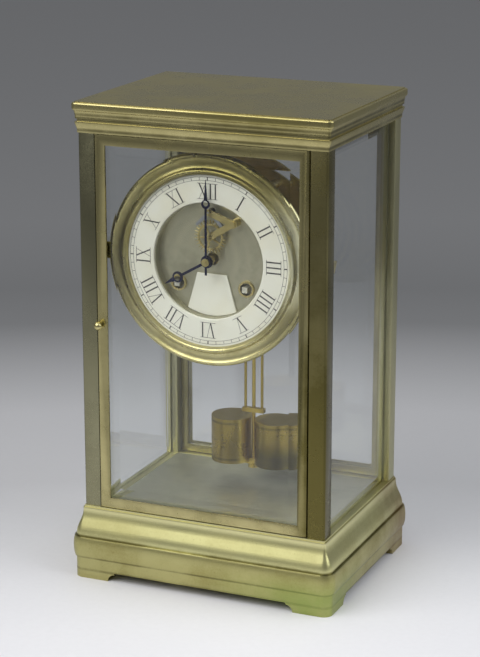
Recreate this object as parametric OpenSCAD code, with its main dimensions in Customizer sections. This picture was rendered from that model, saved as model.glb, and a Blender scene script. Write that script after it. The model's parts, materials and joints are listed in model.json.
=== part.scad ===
// Four glass mantel clock: a moulded brass case with four bevelled panes, a round
// eight-day striking movement with a visible pin-pallet escapement, a coiled gong
// and a pendulum with a twin cylinder bob. Millimetres, +Z up, the dial faces -Y,
// origin at the centre of the footprint on the ground.

/* [Case] */
// Overall height
case_h = 265; // [255:1:285]
// Width over the corner posts
frame_w = 141; // [139:1:160]
// Depth over the corner posts
frame_d = 111; // [109:1:130]
// Side of a square corner post
post_t = 9.5; // [8.5:0.1:10.5]
// Bevel on the outer edge of a post
post_bevel = 0.8; // [0.4:0.1:1.5]
// Radius of the bolts that hold the case together
bolt_r = 2; // [1.6:0.1:2.2]
// Length of a bolt's shank
bolt_l = 16; // [14:0.5:20]

/* [Base and feet] */
// Height of the top face of the base
base_top = 41; // [38:0.5:46]
// How far the base mouldings stand out past the posts
base_overhang = 6.5; // [5.5:0.1:8]
// Wall of the hollow base casting
base_wall = 11; // [10.5:0.5:13]
// Height of the plain apron under the bulged band
band_up = 7; // [5:0.5:10]
// Height of the bulged band
band_h = 12; // [8:0.5:14]
// Thickness of the deck that closes the base
deck_t = 5; // [4:0.5:7]
// Height of the bracket feet under the apron
foot_h = 5; // [3:0.5:8]
// Length of each arm of a bracket foot
foot_l = 25; // [18:1:35]
// Thickness of the polished floor plate
floor_t = 1.5; // [1:0.1:2.5]

/* [Cornice] */
// Height of the lower cornice casting
cornice_h = 8.5; // [7:0.5:11]
// Height of the top slab
slab_h = 8; // [6:0.5:10]
// How far the slab moulding stands out past the posts
slab_overhang = 3; // [2:0.1:4]
// Wall and top thickness of the hollow slab
slab_wall = 3; // [2.5:0.1:4]

/* [Glass and doors] */
// Thickness of a pane
glass_t = 3; // [2.5:0.1:3.5]
// Width of the polished bevel round a pane
bevel_w = 7; // [4:0.5:9]
// Depth of the bevel at the edge of a pane
bevel_d = 1.2; // [0.6:0.1:1.6]
// Depth of the groove that holds a side pane
groove_d = 2; // [1.5:0.1:3]
// Thickness of a door frame
door_t = 5; // [4.6:0.1:5.5]
// Visible width of a door frame
door_bar = 5.6; // [4.4:0.1:6]
// Running gap round a door
door_gap = 0.4; // [0.3:0.05:0.6]
// Width of the lip that the pane bears on
lip_w = 1.4; // [1:0.1:1.8]
// Thickness of that lip
lip_t = 1.3; // [1:0.1:1.5]
// Distance of the pivot axis from the stile's edge and front face
pivot_inset = 2; // [1.8:0.1:2.2]
// Radius of a door pivot pin
pivot_r = 1; // [0.8:0.05:1.1]
// Length of a pivot pin on each side of the gap
pivot_l = 3; // [2:0.5:4]
// Height of the latch above the base top
latch_up = 104; // [80:1:130]
// Radius of a latch spindle
spindle_r = 0.9; // [0.7:0.05:1]
// Radius of a latch knob
knob_r = 2.3; // [1.8:0.1:2.6]

/* [Dial] */
// Gap between the bezel and the cornice
dial_head = 8; // [3:0.5:13]
// Distance of the enamel's face behind the front of the posts
dial_setback = 10; // [9:0.25:12]
// Outer radius of the enamel chapter ring
enamel_r = 47; // [46:0.1:48]
// Inner radius of the enamel chapter ring
enamel_in = 31.3; // [30.5:0.1:33]
// Thickness of the enamel
enamel_t = 1.5; // [1:0.1:2]
// Width of the bezel round the enamel
bezel_w = 10; // [9:0.1:10.8]
// Depth of the bezel
bezel_t = 4; // [3.5:0.25:4.5]
// Depth of the recess behind the chapter ring
recess_d = 6; // [5:0.25:7]
// Radius of a winding hole
winding_r = 3.4; // [3:0.1:3.5]
// Height of the brackets that hold the dial between the front posts
bracket_h = 9; // [8.6:0.2:14]
// Length of the minute hand from its axis
minute_l = 44; // [39:0.5:44.5]
// Length of the hour hand from its axis
hour_l = 28.5; // [25:0.5:30]

/* [Movement frame] */
// Radius of the movement plates
plate_r = 44; // [43:0.5:46]
// Thickness of a movement plate
plate_t = 2; // [1.6:0.1:2.4]
// Distance between the plates
plate_gap = 32; // [31:0.5:34]
// Distance from the enamel's back to the front plate
dial_gap = 13; // [12.5:0.25:14]
// Radius of a movement pillar
pillar_r = 2.6; // [2:0.1:3.2]
// Radial clearance of a pivot in its hole
pivot_fit = 0.05; // [0.03:0.01:0.1]
// Radius of an ordinary arbor
arbor_r = 0.9; // [0.8:0.05:1]

/* [Escapement and pendulum] */
// Height of the escape wheel above the dial centre
escape_up = 12.4; // [12.2:0.1:12.6]
// Tip radius of the escape wheel
escape_r = 9.2; // [9:0.1:9.4]
// Radius of a pallet pin
pallet_pin_r = 0.3; // [0.25:0.05:0.35]
// Gap between the pallet pins and the tip circle with the pendulum upright
pallet_clear = 0.13; // [0.1:0.01:0.2]
// Distance of the pendulum behind the back plate
pendulum_back = 12; // [11.5:0.5:13]
// Height of the bob's yoke above the base top
bob_clear = 11.5; // [9:0.5:20]
// Radius of each bob cylinder
bob_r = 11.75; // [9:0.25:12.5]
// Height of each bob cylinder
bob_h = 26; // [20:1:32]
// Gap between the two cylinders, where the rod passes
bob_gap = 3; // [2.4:0.2:6]

/* [Gong] */
// Outer radius of the gong coil, to the centre of its wire
gong_r = 38; // [34:0.5:39]
// Number of turns in the coil
gong_turns = 5; // [3:1:6]
// Spacing of the turns
gong_pitch = 4.6; // [3.6:0.1:5]
// Radius of the gong wire
wire_r = 1.1; // [0.8:0.05:1.2]
// Distance of the gong behind the back plate
gong_back = 22.5; // [21:0.5:26]

/* [Hidden] */
$fn = 48;
// colours
brass = [0.72, 0.68, 0.45];
plate_brass = [0.66, 0.62, 0.38];
base_brass = [0.72, 0.68, 0.42];
cornice_brass = [0.53, 0.51, 0.32];
dark_brass = [0.5, 0.47, 0.3];
steel = [0.6, 0.6, 0.62];
blued = [0.12, 0.14, 0.25];
enamel = [0.93, 0.93, 0.9];
glass = [0.8, 0.85, 0.86, 0.35];
// plan of the frame
post_x = frame_w / 2 - post_t / 2;
post_y = frame_d / 2 - post_t / 2;
slab_z = case_h - slab_h;
cornice_z = slab_z - cornice_h;
bezel_r = enamel_r + bezel_w;
dial_z = cornice_z - dial_head - bezel_r;
bay_w = frame_w - 2 * post_t;
bay_d = frame_d - 2 * post_t;
opening_h = cornice_z - base_top;
// base and feet
apron_out = base_overhang - 1.2;
band_out = base_overhang - 1.4;
top_out = 0.4;
fillet_h = 1;
foot_inset = 2;
scoop_r = foot_h - 1;
seat_gap = 0.2;
floor_w = bay_w - 2 * seat_gap;
floor_d = bay_d - 2 * seat_gap;
cornice_t = 2;
// bolts
bolt_fit = 0.1;
bolt_spare = 1;
bolt_head_r = bolt_r + 1.2;
bolt_head_h = 2;
pocket_r = bolt_head_r + 0.6;
counterbore = bolt_head_h + 0.4;
// doors
door_w = bay_w - 2 * door_gap;
door_z = base_top + door_gap;
door_h = opening_h - 2 * door_gap;
door_front = -frame_d / 2;
door_back = door_front + door_t;
axis_x = door_w / 2 - pivot_inset;
axis_y = door_front + pivot_inset;
// latches: the cam stands upright when the door is free
latch_inset = 1.5;
latch_x = -door_w / 2 + latch_inset;
latch_z = base_top + latch_up;
collar_t = 0.8;
collar_gap = 0.2;
cam_l = 6.6;
cam_t = 1.1;
cam_w = 2.6;
cam_gap = 0.25;
slot_gap = 0.4;
// panes
pane_gap = 0.15;
groove_w = glass_t + 2 * pane_gap;
// depth planes of the dial and the movement
enamel_y = -frame_d / 2 + dial_setback;
ring_back_y = enamel_y + enamel_t;
dial_plate_t = 1.2;
dial_back_y = ring_back_y + dial_plate_t;
recess_y = ring_back_y + recess_d;
recess_t = 1;
recess_r = enamel_in - 0.5;
recess_wall = 1.2;
recess_floor_y = recess_y - recess_t;
// enamel fan that lies on the floor of the recess, under the dial centre
fan_top = 8.5;
fan_drop = 8;
fan_foot = 15;
fan_t = 1.2;
collar_w = 1;
collar_h = 1.2;
// plan of the hands: width of the shaft, and radius and bore of the eye
hour_shaft = 1.4;
hour_eye_r = 3;
hour_eye_bore = 1.9;
hour_eye_back = 9;
minute_shaft = 1.1;
minute_eye_r = 2.4;
minute_eye_bore = 1.45;
minute_eye_back = 13;
minute_tail = 7;
minute_hub_r = 2.8;
hub_w = 1.1;
collet_r = 2.1;
front_y = ring_back_y + dial_gap;
train_y = front_y + plate_t;
back_y = train_y + plate_gap;
rear_y = back_y + plate_t;
pend_y = rear_y + pendulum_back;
gong_y = rear_y + gong_back;
// tooth numbers
barrel_n = 84;
mid_pinion_n = 10;
mid_n = 90;
centre_pinion_n = 10;
centre_n = 96;
third_pinion_n = 8;
third_n = 91;
escape_pinion_n = 7;
escape_n = 30;
cannon_n = 12;
minute_n = 36;
minute_pinion_n = 10;
hour_n = 40;
pin_wheel_n = 60;
pin_pinion_n = 10;
warn_n = 48;
warn_pinion_n = 8;
fly_pinion_n = 8;
ratchet_n = 20;
// modules of the gear pairs
great_m = 0.4;
mid_m = 0.36;
centre_m = 0.34;
third_m = 0.35;
motion_m = 0.4;
hour_m = motion_m * (cannon_n + minute_n) / (minute_pinion_n + hour_n);
strike_m = 0.4;
warn_m = 0.36;
function spacing(n1, n2, m) = (n1 + n2) * m / 2;
// the point at distance r1 from a and r2 from b, on the side given by 1 or -1
function meet(a, r1, b, r2, side) =
    let (d = norm(b - a), u = (b - a) / d, s = (r1 * r1 - r2 * r2 + d * d) / (2 * d))
    a + s * u + side * sqrt(r1 * r1 - s * s) * [-u[1], u[0]];
function bearing(a, b) = atan2(b[1] - a[1], b[0] - a[0]);
function polar(r, a) = r * [cos(a), sin(a)];
// angle of a tooth on wheel 2 that puts it in mesh with wheel 1, one tooth of which is at t1
function in_mesh(t1, n1, a, n2, b) =
    let (phi = bearing(a, b)) phi + 180 - (t1 - phi) * n1 / n2 + 180 / n2;
// arbors, as [x, z] from the dial centre
centre_p = [0, 0];
escape_p = [0, escape_up];
pin_ring = escape_r + pallet_clear + pallet_pin_r;
pallet_up = escape_up + pin_ring * sqrt(2);
pallet_p = [0, pallet_up];
barrel_x = 19.5;
barrel_drop = 14.5;
going_p = [barrel_x, -barrel_drop];
strike_p = [-barrel_x, -barrel_drop];
mid_p = meet(centre_p, spacing(mid_n, centre_pinion_n, mid_m),
    going_p, spacing(barrel_n, mid_pinion_n, great_m), 1);
third_p = meet(centre_p, spacing(centre_n, third_pinion_n, centre_m),
    escape_p, spacing(third_n, escape_pinion_n, third_m), 1);
motion_p = polar(spacing(cannon_n, minute_n, motion_m), -90);
pin_p = strike_p + polar(spacing(barrel_n, pin_pinion_n, great_m), -20);
warn_p = pin_p + polar(spacing(pin_wheel_n, warn_pinion_n, strike_m), -60);
fly_p = warn_p + polar(spacing(warn_n, fly_pinion_n, warn_m), -160);
hammer_p = [-20, -35];
// tooth phases that put every pair in mesh
mid_a = in_mesh(0, barrel_n, going_p, mid_pinion_n, mid_p);
centre_a = in_mesh(0, mid_n, mid_p, centre_pinion_n, centre_p);
third_a = in_mesh(0, centre_n, centre_p, third_pinion_n, third_p);
escape_a = in_mesh(0, third_n, third_p, escape_pinion_n, escape_p);
motion_a = in_mesh(0, cannon_n, centre_p, minute_n, motion_p);
hour_a = in_mesh(0, minute_pinion_n, motion_p, hour_n, centre_p);
pin_a = in_mesh(0, barrel_n, strike_p, pin_pinion_n, pin_p);
warn_a = in_mesh(0, pin_wheel_n, pin_p, warn_pinion_n, warn_p);
fly_a = in_mesh(0, warn_n, warn_p, fly_pinion_n, fly_p);
// planes of the wheels, from the back of the front plate
drum_y = train_y + 1.5;
great_y = train_y + 16.6;
great_t = 1.4;
drum_r = 15;
drum_wall = 1.2;
mid_pinion_y = train_y + 16;
mid_y = train_y + 21.6;
centre_pinion_y = train_y + 21;
centre_y = train_y + 24.8;
third_pinion_y = train_y + 24.2;
third_y = train_y + 20;
escape_pinion_y = train_y + 19.4;
pin_y = train_y + 20;
warn_pinion_y = pin_y - 0.6;
warn_y = train_y + 23.5;
fly_pinion_y = warn_y - 0.6;
vane_y = train_y + 3;
vane_l = 12;
vane_r = 6.4;
wheel_t = 1;
thin_t = 0.8;
pinion_t = 2.2;
great_pinion_t = 2.6;
// arbors and their pivots
end_shake = 0.3;
arbor_pivot_r = arbor_r * 0.6;
thin_arbor_r = 0.7;
tiny_pivot_r = 0.5;
pallet_arbor_r = 0.9;
back_pivot_r = 0.6;
passing_r = 1.4;
centre_front_r = 0.8;
cannon_r = 1.15;
pipe_gap = 0.15;
hour_pipe_r = 2.3;
push_fit = 0.02;
winder_r = 2.6;
winder_front_r = 2.2;
winder_back_r = 1.9;
winder_pivot_r = 1.6;
square_r = 1.5;
ratchet_r = 6.2;
ratchet_t = 1.2;
ratchet_gap = 0.4;
click_t = 1.1;
hammer_arbor_r = 1.2;
// planes of the escapement and the hands, from the enamel's face
cock_y = enamel_y + 0.5;
cock_t = 1;
anchor_y = enamel_y + 1.8;
anchor_t = 0.8;
escape_y = anchor_y + 1.2;
hour_y = enamel_y - 1.3;
minute_y = enamel_y - 2.7;
hand_t = 0.6;
collet_t = 0.9;
// planes of the motion work
cannon_y = front_y - 2.4;
cannon_t = 1.6;
hour_wheel_y = cannon_y - 1.6;
minute_wheel_y = cannon_y + 0.3;
// the hands stand at eight o'clock
minute_rest = 90;
hour_rest = 210;
// a quarter of a tooth from either pallet pin
escape_phase = 42;
// pillars, feet, cocks and brackets
pillar_ring = plate_r - 4.2;
pillar_angles = [60, 120, 182, 295];
pillar_end_r = 1.5;
nut_r = 2.4;
nut_t = 1.6;
feet_ring = 40;
feet_angles = [45, 135, 225, 315];
foot_r = 2;
tenon_r = 1.2;
cock_foot = [14, 21];
cock_w = 3.4;
cock_boss_r = 2.3;
cock_screw_r = 1.5;
cock_screw_t = 0.8;
potence_p = [5, 24];
potence_y = escape_pinion_y + pinion_t + 0.3;
bracket_t = 1.6;
bracket_y = door_back + 0.9;
bracket_in = enamel_r + 0.4;
screw_r = 0.9;
screw_head_r = 1.7;
screw_head_t = 1.2;
screw_l = 4;
screw_spare = 0.2;
screw_dz = 2.4;
post_screw_y = bracket_y + 2;
dial_screw_x = enamel_r + 2.6;
// suspension
cock_x = 13;
stand = 4.2;
bridge_t = 1.4;
shelf_up = 7;
shelf_t = 3;
shelf_w = 7;
spring_w = 4.8;
spring_t = 0.6;
spring_gap = 0.4;
slot_fit = 0.1;
// pendulum
crutch_l = 26;
crutch_pin_r = 0.6;
crutch_fit = 0.1;
rod_r = 1;
bar_r = 0.8;
bar_x = 5;
grid_drop = 52;
bob_z = base_top + bob_clear;
bob_pitch = 2 * bob_r + bob_gap;
bar_foot = 3;
spring_block_drop = 9;
spring_block = [3.2, 5.2, 4.5];
spring_head = [2.8, 6, 2.4];
eye = [5, 3, 10];
eye_slot_h = 8;
bridge = [3, 3, 2.4];
yoke = [8, 6, 3];
rating_t = 2.4;
rating_r = 3.2;
rod_tip = 3;
// gong
gong_drop = 6;
gong_p = [0, -gong_drop];
gong_rings = 24;
gong_sides = 6;
gong_end_a = -10;
block_w = 7;
block_d = 8;
gong_post_r = 2.5;
gong_flange_r = 3.6;
gong_flange_t = 1.5;
strike_a = 188;
hammer_gap = 0.6;
head_r = 3.4;
head_l = 10;
arm_t = 1.2;
arm_w = 2;
tail_l = 8;
tail_a = 38;
tail_w = 1.6;
tail_boss_r = 2;
head_post_r = 1.2;
hammer_arm_y = rear_y + 3;

// Outline helpers

// draws its 2D child, x across and y up, from y0 back to y1
module between(y0, y1) {
    translate([0, y1, 0]) rotate([90, 0, 0]) linear_extrude(y1 - y0) children();
}
// the same, about a point given as [x, z] from the dial centre
module at(p, y0, y1) {
    translate([p[0], 0, dial_z + p[1]]) between(y0, y1) children();
}
module rod(p, y0, y1, r) {
    at(p, y0, y1) circle(r);
}
// a straight bar with round ends from a to b
module link(a, b, w) {
    translate(a) rotate(bearing(a, b)) translate([0, -w / 2]) square([norm(b - a), w]);
    translate(a) circle(w / 2);
    translate(b) circle(w / 2);
}
module four_corners(x, y) {
    for (i = [-1, 1])
        for (j = [-1, 1])
            translate([i * x, j * y, 0]) children();
}
// a moulding run round a rectangle: profile is [overhang, height] points, from the top down
module moulding(w, d, profile) {
    for (a = [0, 180])
        rotate([0, 0, a]) {
            translate([0, -d / 2, 0]) rotate([90, 0, 90]) mirror([1, 0, 0])
                translate([0, 0, -w / 2]) linear_extrude(w) polygon(profile);
            translate([w / 2, 0, 0]) rotate([90, 0, 0])
                translate([0, 0, -d / 2]) linear_extrude(d) polygon(profile);
            translate([w / 2, -d / 2, 0]) rotate([0, 0, -90]) rotate_extrude(angle = 90) polygon(profile);
            translate([w / 2, d / 2, 0]) rotate_extrude(angle = 90) polygon(profile);
        }
}
// points along an arc, squashed across by the factor k
function arc(cx, cy, r, a0, a1, n, k = 1) = [for (i = [0:n]) let (a = a0 + (a1 - a0) * i / n)
    [cx + k * r * cos(a), cy + r * sin(a)]];

// Gear helpers

// outline of a wheel with n straight-flanked teeth, one of them at the angle t
function teeth(n, m, t, fill = 0.37) =
    let (rt = n * m / 2 + 0.85 * m, rr = n * m / 2 - 1.15 * m, p = 360 / n, w = p * fill / 2)
    [for (i = [0:n - 1]) for (k = [[rr, -1.35], [rt, -0.55], [rt, 0.55], [rr, 1.35]])
        polar(k[0], t + i * p + k[1] * w)];
// a wheel with its rim, spokes and hub
module crossed(n, m, t, hub, spokes = 5) {
    rim = n * m / 2 - 1.15 * m - 1.3;
    difference() {
        polygon(teeth(n, m, t));
        difference() {
            circle(rim);
            circle(hub);
            for (i = [0:spokes - 1])
                rotate(t + i * 360 / spokes) translate([0, -0.6]) square([rim + 1, 1.2]);
        }
    }
}
module pinion(n, m, t) {
    polygon(teeth(n, m, t, 0.34));
}
// an arbor with thin pivots that run in both plates
module arbor(p) {
    rod(p, train_y + end_shake, back_y - end_shake, arbor_r);
    rod(p, front_y, train_y + 1, arbor_pivot_r);
    rod(p, back_y - 1, rear_y, arbor_pivot_r);
}

// Case

// an S-shaped run of points from one overhang and height to another
function ogee(o0, z0, o1, z1, n = 8) = [for (i = [0:n])
    [o1 + (o0 - o1) * (0.5 + 0.5 * cos(180 * i / n)), z0 + (z1 - z0) * i / n]];
// apron, bulged band, ogee and top fillet
module base_edge() {
    band_z = foot_h + band_up;
    ogee_z = band_z + band_h;
    fillet_z = base_top - fillet_h;
    moulding(frame_w, frame_d, concat(
        [[0, foot_h], [apron_out, foot_h], [apron_out, band_z]],
        arc(base_overhang - 2, band_z + band_h / 2, band_h / 2 / sin(50), -50, 50, 8, 0.31),
        [[band_out, ogee_z]],
        ogee(band_out, ogee_z + 0.6, 1, fillet_z - 1.2),
        [[1, fillet_z], [top_out, fillet_z], [top_out, base_top], [0, base_top]]));
}
module side_grooves(z) {
    for (s = [-1, 1])
        translate([s * post_x - groove_w / 2, -bay_d / 2 - groove_d, z])
            cube([groove_w, bay_d + 2 * groove_d, groove_d + 1]);
}
module bolt_pockets(z) {
    four_corners(post_x, post_y) translate([0, 0, -1]) cylinder(r = pocket_r, h = z + 1);
}
module base_moulding() {
    inner_w = frame_w - 2 * base_wall;
    inner_d = frame_d - 2 * base_wall;
    color(base_brass)
    difference() {
        union() {
            translate([-frame_w / 2, -frame_d / 2, foot_h]) cube([frame_w, frame_d, base_top - foot_h]);
            base_edge();
        }
        translate([-inner_w / 2, -inner_d / 2, 0]) cube([inner_w, inner_d, base_top - deck_t]);
        // seat of the floor plate
        translate([-floor_w / 2 - seat_gap, -floor_d / 2 - seat_gap, base_top - floor_t])
            cube([floor_w + 2 * seat_gap, floor_d + 2 * seat_gap, floor_t + 1]);
        side_grooves(base_top - groove_d);
        four_corners(post_x, post_y)
            translate([0, 0, base_top - deck_t - 1]) cylinder(r = bolt_r + bolt_fit, h = deck_t + 2);
        bolt_pockets(base_top - deck_t);
        for (s = [-1, 1])
            translate([axis_x, s * axis_y, base_top - pivot_l])
                cylinder(r = pivot_r + pivot_fit, h = pivot_l + 1);
    }
}
// one arm of a foot, its end scooped underneath
module foot_arm(l, t) {
    difference() {
        translate([-l, -t, 0]) cube([l, t, foot_h]);
        translate([-l, -t - 1, 0]) rotate([-90, 0, 0]) cylinder(r = scoop_r, h = t + 2);
    }
}
// a foot wraps a corner, which is rounded like the apron above it
module bracket_feet() {
    w = apron_out;
    t = base_wall + w - foot_inset;
    color([0.62, 0.62, 0.36])
    difference() {
        for (i = [0, 1])
            for (j = [0, 1])
                mirror([i, 0, 0]) mirror([0, j, 0]) translate([frame_w / 2, frame_d / 2, 0])
                    difference() {
                        union() {
                            translate([w, w, 0]) foot_arm(foot_l, t);
                            mirror([1, -1, 0]) translate([w, w, 0]) foot_arm(foot_l, t);
                        }
                        translate([0, 0, -1]) difference() {
                            cube([w + 1, w + 1, foot_h + 2]);
                            cylinder(r = w, h = foot_h + 2);
                        }
                    }
        bolt_pockets(foot_h + 1);
    }
}
module floor_plate() {
    color([0.55, 0.55, 0.47])
    translate([-floor_w / 2, -floor_d / 2, base_top - floor_t]) cube([floor_w, floor_d, floor_t]);
}
module post(sx, sy) {
    cut = post_bevel * sqrt(2);
    h = opening_h;
    color(dark_brass)
    translate([sx * post_x, sy * post_y, 0])
    difference() {
        translate([-post_t / 2, -post_t / 2, base_top]) cube([post_t, post_t, h]);
        // outer edge taken off at 45 degrees
        translate([sx * post_t / 2, sy * post_t / 2, base_top - 1]) rotate([0, 0, 45])
            translate([-cut / 2, -cut / 2, 0]) cube([cut, cut, h + 2]);
        // groove for the side pane
        translate([-groove_w / 2, -sy * (post_t / 2 - groove_d / 2 + 0.5) - groove_d / 2 - 0.5, base_top - 1])
            cube([groove_w, groove_d + 1, h + 2]);
        translate([0, 0, base_top - 1]) cylinder(r = bolt_r + bolt_fit, h = bolt_l - deck_t + bolt_spare + 1);
        translate([0, 0, cornice_z + 1]) mirror([0, 0, 1])
            cylinder(r = bolt_r + bolt_fit, h = bolt_l - cornice_h + counterbore + bolt_spare + 1);
        if (sx < 0) latch_slot(sy);
        if (sy < 0) post_screw_holes(sx);
    }
}
// slot in a left post that the latch cam turns into
module latch_slot(sy) {
    depth = cam_l - latch_inset - door_gap + slot_gap;
    t = cam_t + 2 * slot_gap;
    y0 = door_t - post_t / 2 + cam_gap - slot_gap;
    translate([post_t / 2 - depth, sy > 0 ? -y0 - t : y0, latch_z - cam_w / 2 - slot_gap])
        cube([depth + 1, t, cam_w / 2 + cam_l + 2 * slot_gap]);
}
module post_screw_holes(sx) {
    depth = screw_l - bracket_t + screw_spare;
    for (dz = [-screw_dz, screw_dz])
        translate([-sx * (post_t / 2 + 1), post_screw_y + post_y, dial_z + dz])
            rotate([0, sx * 90, 0]) cylinder(r = screw_r + pivot_fit, h = depth + 1);
}
module post_front_left() { post(-1, -1); }
module post_front_right() { post(1, -1); }
module post_rear_left() { post(-1, 1); }
module post_rear_right() { post(1, 1); }
module cornice() {
    z0 = cornice_z;
    z1 = slab_z;
    color(cornice_brass)
    difference() {
        union() {
            translate([-frame_w / 2, -frame_d / 2, z0]) cube([frame_w, frame_d, cornice_h]);
            moulding(frame_w, frame_d, concat(
                [[0, z0], [0.3, z0]],
                ogee(0.3, z0 + 1.2, 1.6, z1 - 2.6, 6),
                [[0.4, z1 - 2.6], [0.4, z1 - 1], [1.3, z1 - 1], [1.3, z1], [0, z1]]));
        }
        translate([-bay_w / 2, -bay_d / 2, z0 - 1]) cube([bay_w, bay_d, cornice_h - cornice_t + 1]);
        side_grooves(z0 - 1);
        four_corners(post_x, post_y)
            translate([0, 0, z0 - 1]) cylinder(r = bolt_r + bolt_fit, h = cornice_h + 2);
        four_corners(post_x, post_y)
            translate([0, 0, z1 - counterbore]) cylinder(r = pocket_r, h = counterbore + 1);
        for (s = [-1, 1])
            translate([axis_x, s * axis_y, z0 - 1]) cylinder(r = pivot_r + pivot_fit, h = pivot_l + 1);
    }
}
module top_slab() {
    z0 = slab_z;
    w = slab_overhang;
    color([0.56, 0.53, 0.33])
    difference() {
        union() {
            translate([-frame_w / 2, -frame_d / 2, z0]) cube([frame_w, frame_d, slab_h]);
            moulding(frame_w, frame_d, concat(
                [[0, z0], [1.4, z0], [1.4, z0 + 1]],
                arc(w - 1.6, z0 + slab_h - 3.4, 1.6, -70, 0, 5),
                [[w, case_h - 1.9]],
                arc(w - 0.8, case_h - 1.3, 0.8, 0, 90, 4),
                [[w - 1.6, case_h - 0.5], [w - 1.6, case_h], [0, case_h]]));
        }
        translate([-frame_w / 2 + slab_wall, -frame_d / 2 + slab_wall, z0 - 1])
            cube([frame_w - 2 * slab_wall, frame_d - 2 * slab_wall, slab_h - slab_wall + 1]);
    }
}
// a bolt with its head under z = 0 and its shank above
module bolt() {
    translate([0, 0, -bolt_head_h]) cylinder(r = bolt_head_r, h = bolt_head_h);
    translate([0, 0, -1]) cylinder(r = bolt_r, h = bolt_l + 1);
}
// the lower bolts come up from the base, the upper ones down from the cornice
module frame_bolts() {
    color(steel)
    four_corners(post_x, post_y) {
        translate([0, 0, base_top - deck_t]) bolt();
        translate([0, 0, slab_z - counterbore]) mirror([0, 0, 1]) bolt();
    }
}
module door_pivots() {
    l = 2 * pivot_l + door_gap;
    color(steel)
    for (s = [-1, 1])
        for (z = [base_top - pivot_l, cornice_z - pivot_l - door_gap])
            translate([axis_x, s * axis_y, z]) cylinder(r = pivot_r, h = l);
}

// Panes

// a pane w by h, standing in x and z about its centre, its bevelled face towards -Y
module pane(w, h) {
    k = bevel_w;
    d = bevel_d;
    t = glass_t;
    intersection() {
        translate([0, 0, -h / 2]) linear_extrude(h)
            polygon([[-w / 2, t], [w / 2, t], [w / 2, d], [w / 2 - k, 0], [-w / 2 + k, 0], [-w / 2, d]]);
        rotate([90, 0, 90]) translate([0, 0, -w / 2]) linear_extrude(w)
            polygon([[t, -h / 2], [t, h / 2], [d, h / 2], [0, h / 2 - k], [0, -h / 2 + k], [d, -h / 2]]);
    }
}
module side_pane(s) {
    h = opening_h + 2 * groove_d - 2 * pane_gap;
    w = bay_d + 2 * groove_d - 2 * pane_gap;
    color(glass)
    translate([s * (post_x + glass_t / 2), 0, base_top + opening_h / 2]) rotate([0, 0, s * 90]) pane(w, h);
}
module side_glass_left() { side_pane(-1); }
module side_glass_right() { side_pane(1); }
// a door in the front bay, its pane seated against the lip from behind
module door_frame() {
    rebate_w = door_w - 2 * door_bar + 2 * lip_w;
    rebate_h = door_h - 2 * door_bar + 2 * lip_w;
    difference() {
        union() {
            difference() {
                translate([-door_w / 2, door_front, door_z]) cube([door_w, door_t, door_h]);
                translate([axis_x, door_front - 1, door_z - 1])
                    cube([pivot_inset + 1, pivot_inset + 1, door_h + 2]);
            }
            translate([axis_x, axis_y, door_z]) cylinder(r = pivot_inset, h = door_h);
        }
        translate([-door_w / 2 + door_bar, door_front - 1, door_z + door_bar])
            cube([door_w - 2 * door_bar, door_t + 2, door_h - 2 * door_bar]);
        translate([-rebate_w / 2, door_front + lip_t, door_z + door_bar - lip_w])
            cube([rebate_w, door_t, rebate_h]);
        for (z = [door_z - 1, door_z + door_h - pivot_l - slot_gap])
            translate([axis_x, axis_y, z]) cylinder(r = pivot_r + pivot_fit, h = pivot_l + slot_gap + 1);
        translate([latch_x, door_front - 1, latch_z]) rotate([-90, 0, 0])
            cylinder(r = spindle_r + pivot_fit, h = door_t + 2);
    }
}
module door_pane() {
    w = door_w - 2 * door_bar + 2 * lip_w - pane_gap;
    h = door_h - 2 * door_bar + 2 * lip_w - pane_gap;
    translate([0, door_front + lip_t, door_z + door_h / 2]) pane(w, h);
}
// knob, collar, spindle and cam
module latch() {
    cam_y = door_back + cam_gap;
    collar_y = door_front - collar_gap - collar_t;
    translate([latch_x, 0, latch_z]) {
        between(collar_y, cam_y + cam_t) circle(spindle_r);
        between(collar_y, collar_y + collar_t) circle(knob_r - 0.4);
        translate([0, collar_y - knob_r + 0.4, 0]) sphere(knob_r);
        between(cam_y, cam_y + cam_t) link([0, 0], [0, cam_l - cam_w / 2], cam_w);
    }
}
module front_door_frame() { color([0.45, 0.42, 0.27]) door_frame(); }
module front_door_glass() { color(glass) door_pane(); }
module front_latch() { color(brass) latch(); }
module rear_door_frame() { color([0.45, 0.42, 0.27]) mirror([0, 1, 0]) door_frame(); }
module rear_door_glass() { color(glass) mirror([0, 1, 0]) door_pane(); }
module rear_latch() { color(brass) mirror([0, 1, 0]) latch(); }

// Dial and hands

// turned about the dial axis: points are [radius, y]
module turned(points) {
    translate([0, 0, dial_z]) rotate([-90, 0, 0]) rotate_extrude() polygon(points);
}
module annulus(r, bore) {
    difference() {
        circle(r);
        circle(bore);
    }
}
module bezel() {
    y1 = ring_back_y;
    y0 = y1 - bezel_t;
    lip_y = enamel_y - 0.25;
    bore = enamel_r + 0.4;
    half = (bezel_w - 0.4) / 2 - 2.4;
    lean = acos(half / 5);
    color(brass)
    difference() {
        turned(concat([[bore - 1.3, lip_y], [bore - 0.8, y0 + 0.6]],
            arc(bore + 0.7, y0 + 1.2, 1.2, 210, 330, 6),
            [[bore + 2.2, y0 + 1.6]],
            arc((bore + bezel_r) / 2, y0 - 2.6, 5, 180 - lean, lean, 8),
            arc(bezel_r - 2.2, y0 + 3.8, 2.2, 270, 360, 6),
            [[bezel_r, y1], [bore, y1], [bore, lip_y]]));
        dial_screws(screw_r + pivot_fit, screw_spare);
    }
}
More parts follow.
